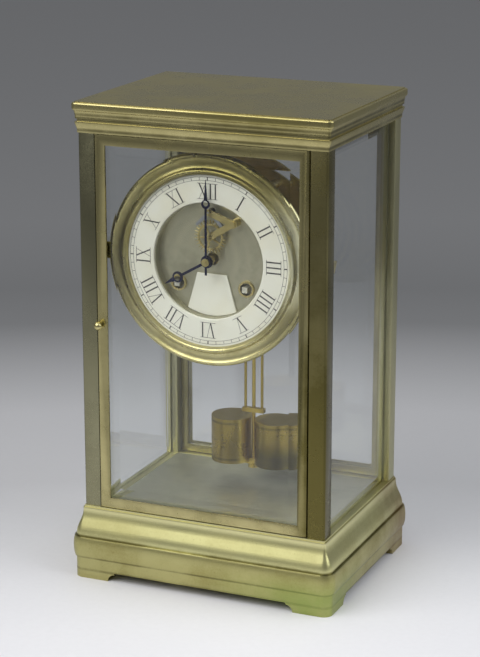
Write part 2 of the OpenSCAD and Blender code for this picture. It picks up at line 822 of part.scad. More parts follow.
// shanks of the screws that hold bezel, dial plate and bracket together
module dial_screws(r, extra = 0) {
    for (s = [-1, 1])
        for (dz = [-screw_dz, screw_dz])
            rod([s * dial_screw_x, dz], dial_back_y + bracket_t - screw_l - extra, dial_back_y + bracket_t, r);
}
module dial_plate() {
    color([0.6, 0.57, 0.36])
    difference() {
        union() {
            at(centre_p, ring_back_y, dial_back_y) annulus(bezel_r - 1.5, recess_r);
            at(centre_p, ring_back_y + 0.2, recess_y) annulus(recess_r + recess_wall, recess_r);
            at(centre_p, recess_floor_y, recess_y) circle(recess_r + 0.5);
            for (a = feet_angles) {
                rod(polar(feet_ring, a), ring_back_y + 0.2, front_y, foot_r);
                rod(polar(feet_ring, a), front_y - 1, train_y, tenon_r);
            }
        }
        at(centre_p, enamel_y, recess_y + 1) circle(hour_pipe_r + hub_w);
        at(escape_p, enamel_y, recess_y + 1) circle(passing_r + 0.8);
        at(pallet_p, enamel_y, recess_y + 1) circle(passing_r + 0.2);
        for (p = [going_p, strike_p])
            at(p, enamel_y, recess_y + 1) circle(winding_r);
        dial_screws(screw_r + pivot_fit);
    }
}
module chapter_ring() {
    edge = 0.5;
    color(enamel)
    turned(concat([[enamel_in, ring_back_y], [enamel_in, enamel_y + edge]],
        arc(enamel_in + edge, enamel_y + edge, edge, 180, 270, 3),
        [[enamel_r - 0.3, enamel_y], [enamel_r, enamel_y + 0.3], [enamel_r, ring_back_y]]));
}
module dial_cartouche() {
    top = [fan_top, -fan_drop];
    foot = [fan_foot, -recess_r];
    color(enamel)
    at(centre_p, recess_floor_y - fan_t, recess_floor_y) intersection() {
        polygon([[-top[0], top[1]], top, foot, [-foot[0], foot[1]]]);
        circle(recess_r - seat_gap);
    }
}
module winding_collars() {
    color(brass)
    for (p = [going_p, strike_p])
        at(p, recess_floor_y - collar_h, recess_floor_y) annulus(winding_r + collar_w, winding_r);
}
module hour_hand() {
    ring_x = hour_l - hour_eye_back;
    color(blued)
    at(centre_p, hour_y, hour_y + hand_t) rotate(hour_rest) difference() {
        union() {
            circle(hour_pipe_r + hub_w);
            translate([0, -hour_shaft / 2]) square([ring_x, hour_shaft]);
            translate([ring_x, 0]) circle(hour_eye_r);
            polygon([[ring_x + 2.4, -1.3], [hour_l, 0], [ring_x + 2.4, 1.3]]);
        }
        circle(hour_pipe_r + push_fit);
        translate([ring_x + 0.4, 0]) circle(hour_eye_bore);
    }
}
module minute_hand() {
    ring_x = minute_l - minute_eye_back;
    color(blued)
    at(centre_p, minute_y, minute_y + hand_t) rotate(minute_rest) difference() {
        union() {
            circle(minute_hub_r);
            translate([-minute_tail, -minute_shaft / 2]) square([ring_x + minute_tail, minute_shaft]);
            translate([ring_x, 0]) circle(minute_eye_r);
            polygon([[ring_x + 1.6, -1], [minute_l, 0], [ring_x + 1.6, 1]]);
        }
        circle(cannon_r + push_fit);
        translate([ring_x + 0.4, 0]) circle(minute_eye_bore);
    }
}
module hand_collet() {
    color(brass)
    at(centre_p, minute_y - collet_t, minute_y) annulus(collet_r, centre_front_r + push_fit);
}

// Movement frame

// what the front and the back plate have in common, through one plate
module plate_holes(y0, y1, barrel_bore) {
    for (p = [mid_p, centre_p, third_p, pin_p, warn_p, fly_p])
        rod(p, y0, y1, arbor_pivot_r + pivot_fit);
    for (p = [going_p, strike_p])
        rod(p, y0, y1, barrel_bore + pivot_fit);
    rod(pallet_p, y0, y1, passing_r);
    rod(hammer_p, y0, y1, hammer_arbor_r + pivot_fit);
    for (a = pillar_angles)
        rod(polar(pillar_ring, a), y0, y1, pillar_end_r + pivot_fit);
}
module front_plate() {
    y0 = front_y - 1;
    y1 = train_y + 1;
    color(plate_brass)
    difference() {
        rod(centre_p, front_y, train_y, plate_r);
        plate_holes(y0, y1, winder_front_r);
        rod(centre_p, y0, y1, centre_front_r + pivot_fit);
        rod(escape_p, y0, y1, passing_r);
        rod(potence_p, y0, y1, 1 + pivot_fit);
        rod(motion_p, y0, y1, thin_arbor_r + pivot_fit);
        for (a = feet_angles)
            rod(polar(feet_ring, a), y0, y1, tenon_r + pivot_fit);
    }
}
module back_plate() {
    color(plate_brass)
    difference() {
        rod(centre_p, back_y, rear_y, plate_r);
        plate_holes(back_y - 1, rear_y + 1, winder_pivot_r);
    }
}
// turned pillars with a nut outside each plate
module pillars() {
    color(brass)
    for (a = pillar_angles) {
        p = polar(pillar_ring, a);
        rod(p, train_y, back_y, pillar_r);
        rod(p, front_y - nut_t, rear_y + nut_t + 0.6, pillar_end_r);
        rod(p, rear_y, rear_y + nut_t, nut_r);
        rod(p, front_y - nut_t, front_y, nut_r);
    }
}
// angle piece from the inner face of a front post to the back of the dial plate
module case_bracket(s) {
    y1 = dial_back_y + bracket_t;
    x1 = bay_w / 2;
    z0 = dial_z - bracket_h / 2;
    color(dark_brass)
    difference() {
        union() {
            translate([s > 0 ? x1 - bracket_t : -x1, bracket_y, z0])
                cube([bracket_t, y1 - bracket_y, bracket_h]);
            translate([s > 0 ? bracket_in : -x1, dial_back_y, z0])
                cube([x1 - bracket_in, bracket_t, bracket_h]);
        }
        dial_screws(screw_r + pivot_fit);
        for (dz = [-screw_dz, screw_dz])
            translate([s * (x1 - bracket_t - 1), post_screw_y, dial_z + dz]) rotate([0, s * 90, 0])
                cylinder(r = screw_r + pivot_fit, h = bracket_t + 2);
    }
}
module case_bracket_left() { case_bracket(-1); }
module case_bracket_right() { case_bracket(1); }
// four screws into the posts and four into the bezel, all alike
module bracket_screws() {
    y1 = dial_back_y + bracket_t;
    x1 = bay_w / 2 - bracket_t;
    color(steel) {
        dial_screws(screw_r);
        for (s = [-1, 1])
            for (dz = [-screw_dz, screw_dz]) {
                rod([s * dial_screw_x, dz], y1, y1 + screw_head_t, screw_head_r);
                translate([s * x1, post_screw_y, dial_z + dz]) rotate([0, s * 90, 0]) {
                    translate([0, 0, -screw_head_t]) cylinder(r = screw_head_r, h = screw_head_t);
                    cylinder(r = screw_r, h = screw_l);
                }
            }
    }
}

// Escapement

// the cock stands in the recess and carries the front pivots of escape wheel and pallets
module escapement_cock() {
    color(brass) {
        difference() {
            union() {
                at(centre_p, cock_y, cock_y + cock_t) {
                    link(escape_p, cock_foot, cock_w);
                    link(pallet_p, cock_foot, cock_w);
                }
                rod(cock_foot, cock_y, recess_floor_y, cock_boss_r);
            }
            rod(escape_p, cock_y - 1, cock_y + 2, tiny_pivot_r + pivot_fit);
            rod(pallet_p, cock_y - 1, cock_y + 2, tiny_pivot_r + pivot_fit);
        }
        rod(cock_foot, cock_y - cock_screw_t, cock_y + 0.2, cock_screw_r);
    }
}
module escape_potence() {
    y1 = potence_y + cock_t;
    color(plate_brass)
    difference() {
        union() {
            at(centre_p, potence_y, y1) link(escape_p, potence_p, 4);
            rod(potence_p, train_y, y1, 2);
            rod(potence_p, front_y, train_y + 1, 1);
        }
        rod(escape_p, potence_y - 1, y1 + 1, tiny_pivot_r + pivot_fit);
    }
}
// bridge behind the back plate that carries the pallet pivot and the suspension
module suspension_cock() {
    z0 = dial_z + pallet_up;
    bridge_y = rear_y + stand;
    leg_w = 2.4;
    color(plate_brass)
    difference() {
        union() {
            for (s = [-1, 1]) {
                at(centre_p, rear_y, rear_y + bridge_t)
                    link([s * cock_x, pallet_up], [s * cock_x, pallet_up + 5], 6);
                translate([s * cock_x - leg_w / 2, rear_y, z0]) cube([leg_w, stand + bridge_t, 5]);
            }
            translate([-cock_x - leg_w / 2, bridge_y, z0 - 2.5]) cube([2 * cock_x + leg_w, bridge_t, 7.5]);
            translate([-shelf_w / 2, bridge_y, z0]) cube([shelf_w, bridge_t, shelf_up + shelf_t]);
            translate([-shelf_w / 2, bridge_y, z0 + shelf_up])
                cube([shelf_w, pend_y + spring_w - bridge_y, shelf_t]);
        }
        rod(pallet_p, bridge_y - 1, bridge_y + bridge_t + 1, back_pivot_r + pivot_fit);
        translate([-spring_t / 2 - slot_fit, pend_y - spring_w / 2 - slot_fit, z0 + shelf_up - 1])
            cube([spring_t + 2 * slot_fit, spring_w + 2 * slot_fit, shelf_t + 2]);
    }
}

// Going train

module barrel(p) {
    y1 = great_y + great_t;
    color([0.68, 0.64, 0.4])
    difference() {
        union() {
            rod(p, drum_y, y1, drum_r);
            at(p, great_y, y1) polygon(teeth(barrel_n, great_m, 0));
        }
        rod(p, drum_y - 1, y1 + 1, winder_r + pivot_fit);
        rod(p, drum_y + drum_wall, great_y - drum_wall, drum_r - drum_wall);
    }
}
// winding arbor: barrel seat, pivots, squared front end and the ratchet in front of the plate
module winder(p) {
    ratchet_y = front_y - ratchet_gap - ratchet_t;
    color(steel) {
        rod(p, train_y + ratchet_gap, great_y + great_t + 1, winder_r);
        rod(p, great_y, back_y - ratchet_gap, winder_back_r);
        rod(p, front_y - 1, train_y + 1, winder_front_r);
        rod(p, back_y - 1, rear_y, winder_pivot_r);
        at(p, recess_y - 4, front_y) rotate(45) circle(square_r * sqrt(2), $fn = 4);
        at(p, ratchet_y, ratchet_y + ratchet_t)
            polygon([for (i = [0:ratchet_n - 1]) for (k = [[ratchet_r, 0], [ratchet_r - 1, 0.12]])
                polar(k[0], (i + k[1]) * 360 / ratchet_n)]);
    }
}
// click that stands just clear of the ratchet, on its screw
module click(p, s) {
    pivot = p + [s * (ratchet_r + 3), 8];
    tip = p + (ratchet_r + 1) * [s * cos(20), sin(20)];
    y0 = front_y - ratchet_gap - click_t;
    color(steel) {
        at(centre_p, y0, y0 + click_t) {
            translate(pivot) circle(2.2);
            link(pivot, tip, 1.6);
        }
        rod(pivot, y0 - 0.6, front_y, 1.2);
    }
}
module going_barrel() { barrel(going_p); }
module going_winder() { winder(going_p); }
module going_click() { click(going_p, 1); }
module intermediate_wheel() {
    color(brass) {
        arbor(mid_p);
        at(mid_p, mid_pinion_y, mid_pinion_y + great_pinion_t) pinion(mid_pinion_n, great_m, mid_a);
        at(mid_p, mid_y, mid_y + wheel_t) crossed(mid_n, mid_m, 0, 3);
    }
}
module centre_wheel() {
    color(brass) {
        arbor(centre_p);
        rod(centre_p, minute_y - 1.5, train_y + 1, centre_front_r);
        at(centre_p, centre_pinion_y, centre_pinion_y + pinion_t) pinion(centre_pinion_n, mid_m, centre_a);
        at(centre_p, centre_y, centre_y + wheel_t) crossed(centre_n, centre_m, 0, 3);
    }
}
module third_wheel() {
    color(brass) {
        arbor(third_p);
        at(third_p, third_pinion_y, third_pinion_y + pinion_t) pinion(third_pinion_n, centre_m, third_a);
        at(third_p, third_y, third_y + thin_t) crossed(third_n, third_m, 0, 2.6);
    }
}
// escape wheel with thin pointed teeth
module escape_wheel() {
    root = escape_r - 2;
    rim = root - 1;
    p = 360 / escape_n;
    pinion_end = escape_pinion_y + pinion_t;
    color(brass) {
        rod(escape_p, cock_y, cock_y + cock_t + 1, tiny_pivot_r);
        rod(escape_p, cock_y + cock_t + 0.2, pinion_end, thin_arbor_r);
        rod(escape_p, pinion_end - 1, potence_y + cock_t, tiny_pivot_r);
        at(escape_p, escape_pinion_y, pinion_end) pinion(escape_pinion_n, third_m, escape_a);
        at(escape_p, escape_y, escape_y + thin_t) difference() {
            polygon([for (i = [0:escape_n - 1])
                for (k = [[root, -2], [escape_r, -0.35], [escape_r, 0.35], [root, 2]])
                    polar(k[0], escape_phase + i * p + k[1])]);
            difference() {
                circle(rim);
                circle(2);
                for (i = [0:4])
                    rotate(escape_phase + i * 72) translate([0, -0.4]) square([rim + 1, 0.8]);
            }
        }
    }
}
// anchor with its two pallet pins, on the long pallet arbor
module pallets() {
    color([0.35, 0.36, 0.42]) {
        at(centre_p, anchor_y, anchor_y + anchor_t) {
            for (a = [45, 135])
                link(pallet_p, escape_p + polar(pin_ring, a), 1.6);
            translate(pallet_p) circle(2);
        }
        for (a = [45, 135])
            rod(escape_p + polar(pin_ring, a), anchor_y, escape_y + 1, pallet_pin_r);
        rod(pallet_p, cock_y, anchor_y + anchor_t, tiny_pivot_r);
        rod(pallet_p, anchor_y, rear_y + stand - 0.2, pallet_arbor_r);
        rod(pallet_p, rear_y + stand - 1, rear_y + stand + bridge_t, back_pivot_r);
    }
}
// arm that hangs from the pallet arbor and guides the pendulum with a pin
module crutch() {
    hub_y = rear_y + 0.8;
    arm_y = rear_y + 1.4;
    pin = pallet_p - [0, crutch_l];
    color(brass)
    difference() {
        union() {
            rod(pallet_p, hub_y, hub_y + 2.4, 2);
            at(centre_p, arm_y, arm_y + arm_t) link(pallet_p, pin, 1.8);
            rod(pin, arm_y, pend_y + rod_r + 1.6, crutch_pin_r);
        }
        rod(pallet_p, rear_y, rear_y + stand, pallet_arbor_r + push_fit);
    }
}

// Motion work

module cannon_pinion() {
    color(steel)
    difference() {
        union() {
            at(centre_p, cannon_y, cannon_y + cannon_t) pinion(cannon_n, motion_m, 0);
            rod(centre_p, minute_y, cannon_y + 1, cannon_r);
        }
        rod(centre_p, minute_y - 1, cannon_y + cannon_t + 1, centre_front_r + push_fit);
    }
}
module minute_wheel() {
    color(brass) {
        at(motion_p, minute_wheel_y, minute_wheel_y + wheel_t) crossed(minute_n, motion_m, motion_a, 2.4, 4);
        at(motion_p, hour_wheel_y - 0.3, minute_wheel_y + 0.3) pinion(minute_pinion_n, hour_m, 0);
        rod(motion_p, hour_wheel_y - 1, train_y, thin_arbor_r);
    }
}
module hour_wheel() {
    color(brass)
    difference() {
        union() {
            at(centre_p, hour_wheel_y, hour_wheel_y + thin_t) crossed(hour_n, hour_m, hour_a, 3.2, 4);
            rod(centre_p, hour_y, hour_wheel_y + thin_t, hour_pipe_r);
        }
        rod(centre_p, hour_y - 1, hour_wheel_y + thin_t + 1, cannon_r + pipe_gap);
    }
}

// Strike train

module strike_barrel() { barrel(strike_p); }
module strike_winder() { winder(strike_p); }
module strike_click() { click(strike_p, -1); }
module pin_wheel() {
    pin_circle = pin_wheel_n * strike_m / 2 - 1.7;
    color(brass) {
        arbor(pin_p);
        at(pin_p, mid_pinion_y, mid_pinion_y + great_pinion_t) pinion(pin_pinion_n, great_m, pin_a);
        at(pin_p, pin_y, pin_y + wheel_t) crossed(pin_wheel_n, strike_m, 0, 2.6);
        for (i = [0:7])
            rod(pin_p + polar(pin_circle, i * 45), pin_y, pin_y + 2.6, 0.4);
    }
}
module warning_wheel() {
    color(brass) {
        arbor(warn_p);
        at(warn_p, warn_pinion_y, warn_pinion_y + pinion_t) pinion(warn_pinion_n, strike_m, warn_a);
        at(warn_p, warn_y, warn_y + thin_t) crossed(warn_n, warn_m, 0, 2);
    }
}
// air brake of the striking train
module fly() {
    color(brass) {
        arbor(fly_p);
        at(fly_p, fly_pinion_y, fly_pinion_y + pinion_t) pinion(fly_pinion_n, warn_m, fly_a);
        at(fly_p, vane_y, vane_y + vane_l) translate([-vane_r, -0.25]) square([2 * vane_r, 0.5]);
    }
}
// arbor with a tail over the pin wheel and an arm that carries the head beside the coil
module hammer() {
    tail_y = pin_y + 1.4;
    coil_r = gong_r - gong_pitch * (strike_a - gong_end_a) / 360 + wire_r;
    head_p = gong_p + polar(coil_r + hammer_gap + head_l / 2, strike_a);
    color(steel) {
        rod(hammer_p, front_y, hammer_arm_y + arm_t, hammer_arbor_r);
        at(centre_p, tail_y, tail_y + 1) link(hammer_p, hammer_p + polar(tail_l, tail_a), tail_w);
        rod(hammer_p, tail_y - 0.5, tail_y + 1.5, tail_boss_r);
        at(centre_p, hammer_arm_y, hammer_arm_y + arm_t) link(hammer_p, head_p, arm_w);
        rod(head_p, hammer_arm_y, gong_y, head_post_r);
        translate([head_p[0], gong_y, dial_z + head_p[1]]) rotate([0, 90 - strike_a, 0])
            translate([0, 0, -head_l / 2]) cylinder(r = head_r, h = head_l);
    }
}

// Gong: one unbroken spiral wire that ends in the block on its post

gong_steps = gong_turns * gong_rings;
function gong_angle(i) = gong_end_a + 360 * (gong_turns - i / gong_rings);
function gong_radius(i) = gong_r - gong_pitch * (gong_turns - i / gong_rings);
function gong_point(i) = polar(gong_radius(i), gong_angle(i));
// ring i of the wire, square to the spiral
function gong_ring(i) = let (q = gong_point(i), u = q / norm(q))
    [for (k = [0:gong_sides - 1]) let (a = 360 * k / gong_sides)
        [q[0] + u[0] * wire_r * cos(a), wire_r * sin(a), q[1] + u[1] * wire_r * cos(a)]];
gong_rows = [for (i = [0:gong_steps]) gong_ring(gong_steps - i)];
// least distance between points one turn apart, less the wire
gong_least = min([for (i = [0:gong_steps - gong_rings])
    norm(gong_point(i + gong_rings) - gong_point(i)) - 2 * wire_r]);
echo(least_gap_of_gong_to_itself = gong_least);
module gong() {
    s = gong_sides;
    n = len(gong_rows);
    color([0.16, 0.18, 0.25])
    translate([0, gong_y, dial_z - gong_drop])
        polyhedron(
            points = [for (r = gong_rows) each r],
            faces = concat(
                [for (i = [0:n - 2]) for (k = [0:s - 1]) let (a = i * s + k, b = i * s + (k + 1) % s)
                    each [[a, a + s, b], [b, a + s, b + s]]],
                [for (k = [1:s - 2]) [0, k, k + 1]],
                [for (k = [1:s - 2]) let (f = (n - 1) * s) [f, f + k + 1, f + k]]));
}
// the wire ends on the block, whose post stands on the back plate
module gong_post() {
    c = gong_p + polar(gong_r, gong_end_a);
    p = c + polar(block_w / 2, gong_end_a - 90);
    color(dark_brass) {
        rod(p, rear_y, gong_y - block_d / 2 + 1, gong_post_r);
        rod(p, rear_y, rear_y + gong_flange_t, gong_flange_r);
        translate([c[0], gong_y, dial_z + c[1]]) rotate([0, -gong_end_a, 0])
            translate([-block_w / 2, -block_d / 2, -block_w]) cube([block_w, block_d, block_w]);
    }
}

// Pendulum

// upper half of the spring, hung from a cross block on the shelf
module suspension_spring() {
    z0 = dial_z + pallet_up + spring_gap;
    z1 = dial_z + pallet_up + shelf_up + shelf_t;
    color(steel) {
        translate([-spring_t / 2, pend_y - spring_w / 2, z0]) cube([spring_t, spring_w, z1 - z0 + 1]);
        translate([-spring_head[0] / 2, pend_y - spring_head[1] / 2, z1]) cube(spring_head);
    }
}
// lower half of the spring, its block, the rods with the slotted eye, and the rating nut
module pendulum_rod() {
    z0 = dial_z + pallet_up;
    block_z = z0 - spring_block_drop;
    eye_z = z0 - crutch_l;
    cross_z = z0 - grid_drop;
    foot_z = bob_z + 1 + bob_h + bar_foot;
    slot = 2 * (crutch_pin_r + crutch_fit);
    color(dark_brass)
    translate([0, pend_y, 0]) {
        translate([-spring_t / 2, -spring_w / 2, block_z + 1])
            cube([spring_t, spring_w, spring_block_drop - 1 - spring_gap]);
        translate([-spring_block[0] / 2, -spring_block[1] / 2, block_z]) cube(spring_block);
        difference() {
            union() {
                translate([0, 0, bob_z - rod_tip]) cylinder(r = rod_r, h = block_z + 1 - bob_z + rod_tip);
                translate([-eye[0] / 2, -eye[1] / 2, eye_z - eye[2] / 2]) cube(eye);
            }
            translate([-slot / 2, -eye[1], eye_z - eye_slot_h / 2]) cube([slot, 2 * eye[1], eye_slot_h]);
        }
        for (s = [-1, 1])
            translate([s * bar_x, 0, foot_z + 1]) cylinder(r = bar_r, h = cross_z - foot_z);
        for (z = [foot_z, cross_z])
            translate([-bar_x - bridge[0] / 2, -bridge[1] / 2, z])
                cube([2 * bar_x + bridge[0], bridge[1], bridge[2]]);
        translate([0, 0, bob_z - rating_t]) cylinder(r = rating_r, h = rating_t);
    }
}
// two cylinders on the yoke that rests on the rating nut
module pendulum_bob() {
    yoke_l = bob_pitch + yoke[0];
    yoke_h = yoke[2];
    color(brass)
    translate([0, pend_y, bob_z]) {
        difference() {
            translate([-yoke_l / 2, -yoke[1] / 2, 0]) cube([yoke_l, yoke[1], yoke_h]);
            translate([0, 0, -1]) cylinder(r = rod_r + pivot_fit, h = yoke_h + 2);
        }
        for (s = [-1, 1])
            translate([s * bob_pitch / 2, 0, 1]) cylinder(r = bob_r, h = bob_h);
    }
}

base_moulding();
bracket_feet();
floor_plate();
post_front_left();
post_front_right();
post_rear_left();
post_rear_right();
cornice();
top_slab();
frame_bolts();
side_glass_left();
side_glass_right();
door_pivots();
front_door_frame();
front_door_glass();
front_latch();
rear_door_frame();
rear_door_glass();
rear_latch();
bezel();
dial_plate();
chapter_ring();
dial_cartouche();
winding_collars();
hour_hand();
minute_hand();
hand_collet();
front_plate();
back_plate();
pillars();
case_bracket_left();
case_bracket_right();
bracket_screws();
escapement_cock();
escape_potence();
suspension_cock();
going_barrel();
going_winder();
going_click();
intermediate_wheel();
centre_wheel();
third_wheel();
escape_wheel();
pallets();
crutch();
cannon_pinion();
minute_wheel();
hour_wheel();
strike_barrel();
strike_winder();
strike_click();
pin_wheel();
warning_wheel();
fly();
hammer();
gong();
gong_post();
suspension_spring();
pendulum_rod();
pendulum_bob();
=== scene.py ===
"""Four glass clock: the looks of the part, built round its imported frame."""

import json
import math

import bmesh
import bpy
from bpy.props import FloatProperty, FloatVectorProperty, IntProperty, PointerProperty
from mathutils import Matrix, Vector

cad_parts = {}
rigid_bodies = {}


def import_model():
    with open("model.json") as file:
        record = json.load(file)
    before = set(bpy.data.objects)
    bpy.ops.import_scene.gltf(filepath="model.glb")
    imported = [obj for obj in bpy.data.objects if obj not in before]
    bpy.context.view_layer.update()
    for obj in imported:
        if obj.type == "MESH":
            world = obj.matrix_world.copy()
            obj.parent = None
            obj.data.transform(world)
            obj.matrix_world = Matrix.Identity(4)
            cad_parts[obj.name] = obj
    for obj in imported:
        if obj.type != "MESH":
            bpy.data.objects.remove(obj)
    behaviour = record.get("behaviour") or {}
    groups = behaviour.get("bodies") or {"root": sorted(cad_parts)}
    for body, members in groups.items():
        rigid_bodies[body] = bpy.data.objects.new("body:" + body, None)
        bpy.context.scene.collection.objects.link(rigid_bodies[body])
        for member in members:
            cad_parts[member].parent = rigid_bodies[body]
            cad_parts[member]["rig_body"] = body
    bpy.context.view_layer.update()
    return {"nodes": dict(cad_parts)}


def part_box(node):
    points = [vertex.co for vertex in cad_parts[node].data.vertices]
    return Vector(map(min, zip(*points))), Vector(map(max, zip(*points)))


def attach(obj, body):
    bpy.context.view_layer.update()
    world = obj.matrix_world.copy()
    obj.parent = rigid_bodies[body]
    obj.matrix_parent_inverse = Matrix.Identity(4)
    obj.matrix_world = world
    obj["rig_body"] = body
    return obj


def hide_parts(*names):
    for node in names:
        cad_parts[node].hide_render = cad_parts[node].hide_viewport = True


bl_info = {
    "name": "Four glass clock",
    "version": (1, 0, 0),
    "blender": (4, 5, 0),
    "location": "3D View > Sidebar > Clock",
    "description": "Dresses the packed four glass clock and sets its studio",
    "category": "Object",
}

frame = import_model()
MM = 0.001

# The middle of the dial's front, taken from the frame
RING_LOW, RING_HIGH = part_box("chapter_ring")
DIAL_CENTRE = Vector(((RING_LOW.x + RING_HIGH.x) / 2, RING_LOW.y, (RING_LOW.z + RING_HIGH.z) / 2))


# ---------------------------------------------------------------- shader sums

NO_SCALE, NO_MOVE = (1, 1, 1), (0, 0, 0)

# Sockets of the Mix node when it mixes colours
MIX_SHARE, MIX_FIRST, MIX_SECOND, MIX_COLOUR = 0, 6, 7, 2


class Wire:
    """One output of a material's node, on which sums are written as usual."""

    def __init__(self, finish, socket):
        self.finish = finish
        self.socket = socket

    def sum(self, operation, first, second, clamp=False):
        """A Math node on two values or wires."""
        return self.finish.node(
            "ShaderNodeMath", {"operation": operation, "use_clamp": clamp}, {0: first, 1: second}
        )

    def __add__(self, other):
        return self.sum("ADD", self, other)

    def __radd__(self, other):
        return self.sum("ADD", other, self)

    def __sub__(self, other):
        return self.sum("SUBTRACT", self, other)

    def __rsub__(self, other):
        return self.sum("SUBTRACT", other, self)

    def __mul__(self, other):
        return self.sum("MULTIPLY", self, other)

    def __rmul__(self, other):
        return self.sum("MULTIPLY", other, self)

    def clamped(self):
        """The value held between 0 and 1."""
        return self.sum("ADD", self, 0.0, clamp=True)

    def size(self):
        """The value without its sign."""
        return self.sum("ABSOLUTE", self, 0.0)

    def larger(self, other):
        """The larger of this value and the other."""
        return self.sum("MAXIMUM", self, other)


class Finish:
    """A material and its nodes."""

    def __init__(self, name):
        self.material = bpy.data.materials.new(name)
        self.material.use_nodes = True
        self.tree = self.material.node_tree
        self.tree.nodes.clear()
        self.out = self.tree.nodes.new("ShaderNodeOutputMaterial")

    def node(self, kind, settings=None, sockets=None, output=0):
        """Adds a node: its settings first, then its sockets' values or links."""
        made = self.tree.nodes.new(kind)
        for key, value in (settings or {}).items():
            if key == "stops":
                self.set_stops(made.color_ramp, value)
            else:
                setattr(made, key, value)
        for key, value in (sockets or {}).items():
            if isinstance(value, Wire):
                self.tree.links.new(value.socket, made.inputs[key])
            else:
                made.inputs[key].default_value = value
        return Wire(self, made.outputs[output])

    @staticmethod
    def set_stops(ramp, stops):
        """Gives a colour ramp its stops, each a place and a colour of three values."""
        while len(ramp.elements) < len(stops):
            ramp.elements.new(0.5)
        for element, (place, colour) in zip(ramp.elements, stops):
            element.position = place
            element.color = (*colour, 1.0)

    def place(self, scale=NO_SCALE, turn=NO_MOVE, shift=NO_MOVE):
        """The point on the piece, in metres, through a Mapping node where one is needed."""
        point = self.node("ShaderNodeTexCoord", output="Object")
        if (scale, turn, shift) == (NO_SCALE, NO_MOVE, NO_MOVE):
            return point
        return self.node(
            "ShaderNodeMapping",
            sockets={"Vector": point, "Location": shift, "Rotation": turn, "Scale": scale},
        )

    def noise(self, point, scale, detail=3.0, roughness=0.5):
        """Soft clouds between 0 and 1, about 1/scale metres wide."""
        return self.node(
            "ShaderNodeTexNoise",
            sockets={"Vector": point, "Scale": scale, "Detail": detail, "Roughness": roughness},
        )

    def step(self, value, low, high):
        """0 below low, 1 above high, and smooth between."""
        return self.node(
            "ShaderNodeMapRange",
            {"interpolation_type": "SMOOTHSTEP"},
            {"Value": value, "From Min": low, "From Max": high},
        )

    def mix(self, share, first, second):
        """The first colour with that share of the second."""
        return self.node(
            "ShaderNodeMix",
            {"data_type": "RGBA"},
            {MIX_SHARE: share, MIX_FIRST: full(first), MIX_SECOND: full(second)},
            output=MIX_COLOUR,
        )

    def bump(self, height, distance, strength):
        """The surface's direction once the height, times a distance in metres, is laid on it."""
        return self.node(
            "ShaderNodeBump", sockets={"Height": height, "Distance": distance, "Strength": strength}
        )

    def with_stains_and_painted_light(self, colour, stains_and_painted_light, point, cloud):
        """The colour under its stain colours and its painted light and shade, each of them a mask
        and a colour.
        """
        for mask, stain in stains_and_painted_light:
            colour = self.mix(mask(self, point, cloud), colour, stain)
        return colour

    def part(self, point, axis):
        """One coordinate of a point."""
        return self.node("ShaderNodeSeparateXYZ", sockets={0: point}, output=axis)

    def close(self, shader):
        """Joins the shader to the output, which ends the material."""
        self.tree.links.new(shader.socket, self.out.inputs["Surface"])
        return self.material

    def surface(self, **sockets):
        """Ends the material in a Principled surface; its sockets are named with _ for a blank."""
        return self.close(
            self.node(
                "ShaderNodeBsdfPrincipled",
                sockets={key.replace("_", " "): value for key, value in sockets.items()},
            )
        )


def full(colour):
    """A colour with its alpha, or a link as it is."""
    return colour if isinstance(colour, Wire) else (*colour, 1.0)


def tone(colour, share):
    """The colour with that share of its light."""
    return tuple(share * c for c in colour)


def as_light(colour):
    """Linear values of a colour that is written the way a screen shows it, from 0 to 255."""
    return tuple(
        (c / 255 / 12.92) if c / 255 <= 0.04045 else ((c / 255 + 0.055) / 1.055) ** 2.4
        for c in colour
    )


# ---------------------------------------------------------------- settings


class ClockFinishSettings(bpy.types.PropertyGroup):
    """Colours of the clock's metals, enamel and glass."""

    brass: FloatVectorProperty(
        name="Polished brass", description="Bright brass of the cornice, posts, doors and bezel",
        subtype="COLOR", default=as_light((206, 196, 142)),
    )
    base: FloatVectorProperty(
        name="Base brass", description="Pale greenish brass of the base mouldings",
        subtype="COLOR", default=as_light((216, 213, 154)),
    )
    # Olive tarnish, which is also the dark colour that the painted shade on the brass mixes to
    tarnish: FloatVectorProperty(
        name="Tarnish", description="Olive tarnish that clouds the brass",
        subtype="COLOR", default=as_light((150, 140, 82)),
    )
    verdigris: FloatVectorProperty(
        name="Verdigris", description="Green bloom low on the base",
        subtype="COLOR", default=as_light((150, 168, 92)),
    )
    # The front left post takes this pale brass; the rear posts take a lighter copy of it, which is
    # painted light
    worn: FloatVectorProperty(
        name="Worn brass", description="Paler brass of the front left post",
        subtype="COLOR", default=as_light((170, 167, 134)),
    )
    ground: FloatVectorProperty(
        name="Floor plate", description="Dull polished plate under the pendulum",
        subtype="COLOR", default=as_light((186, 185, 162)),
    )
    brown: FloatVectorProperty(
        name="Brown tarnish", description="Brown stain on the base's rear corner",
        subtype="COLOR", default=as_light((142, 112, 66)),
    )
    plate: FloatVectorProperty(
        name="Plate brass", description="Brass of the movement plates and wheels",
        subtype="COLOR", default=as_light((222, 204, 140)),
    )
    gilt: FloatVectorProperty(
        name="Bob gilding", description="Warm lacquered brass of the pendulum bob",
        subtype="COLOR", default=as_light((152, 134, 66)),
    )
    dial: FloatVectorProperty(
        name="Dial centre", description="Grained brass behind the escapement",
        subtype="COLOR", default=as_light((196, 192, 164)),
    )
    blued: FloatVectorProperty(
        name="Blued steel", description="Hands and suspension spring",
        subtype="COLOR", default=as_light((38, 42, 74)),
    )
    steel: FloatVectorProperty(
        name="Steel", description="Clicks, pallets, bolts and screws",
        subtype="COLOR", default=as_light((176, 178, 182)),
    )
    enamel: FloatVectorProperty(
        name="Enamel", description="White enamel of the chapter ring",
        subtype="COLOR", default=as_light((230, 228, 214)),
    )
    ink: FloatVectorProperty(
        name="Numeral black", description="Black of the numerals and the minute track",
        subtype="COLOR", default=as_light((66, 62, 58)),
    )


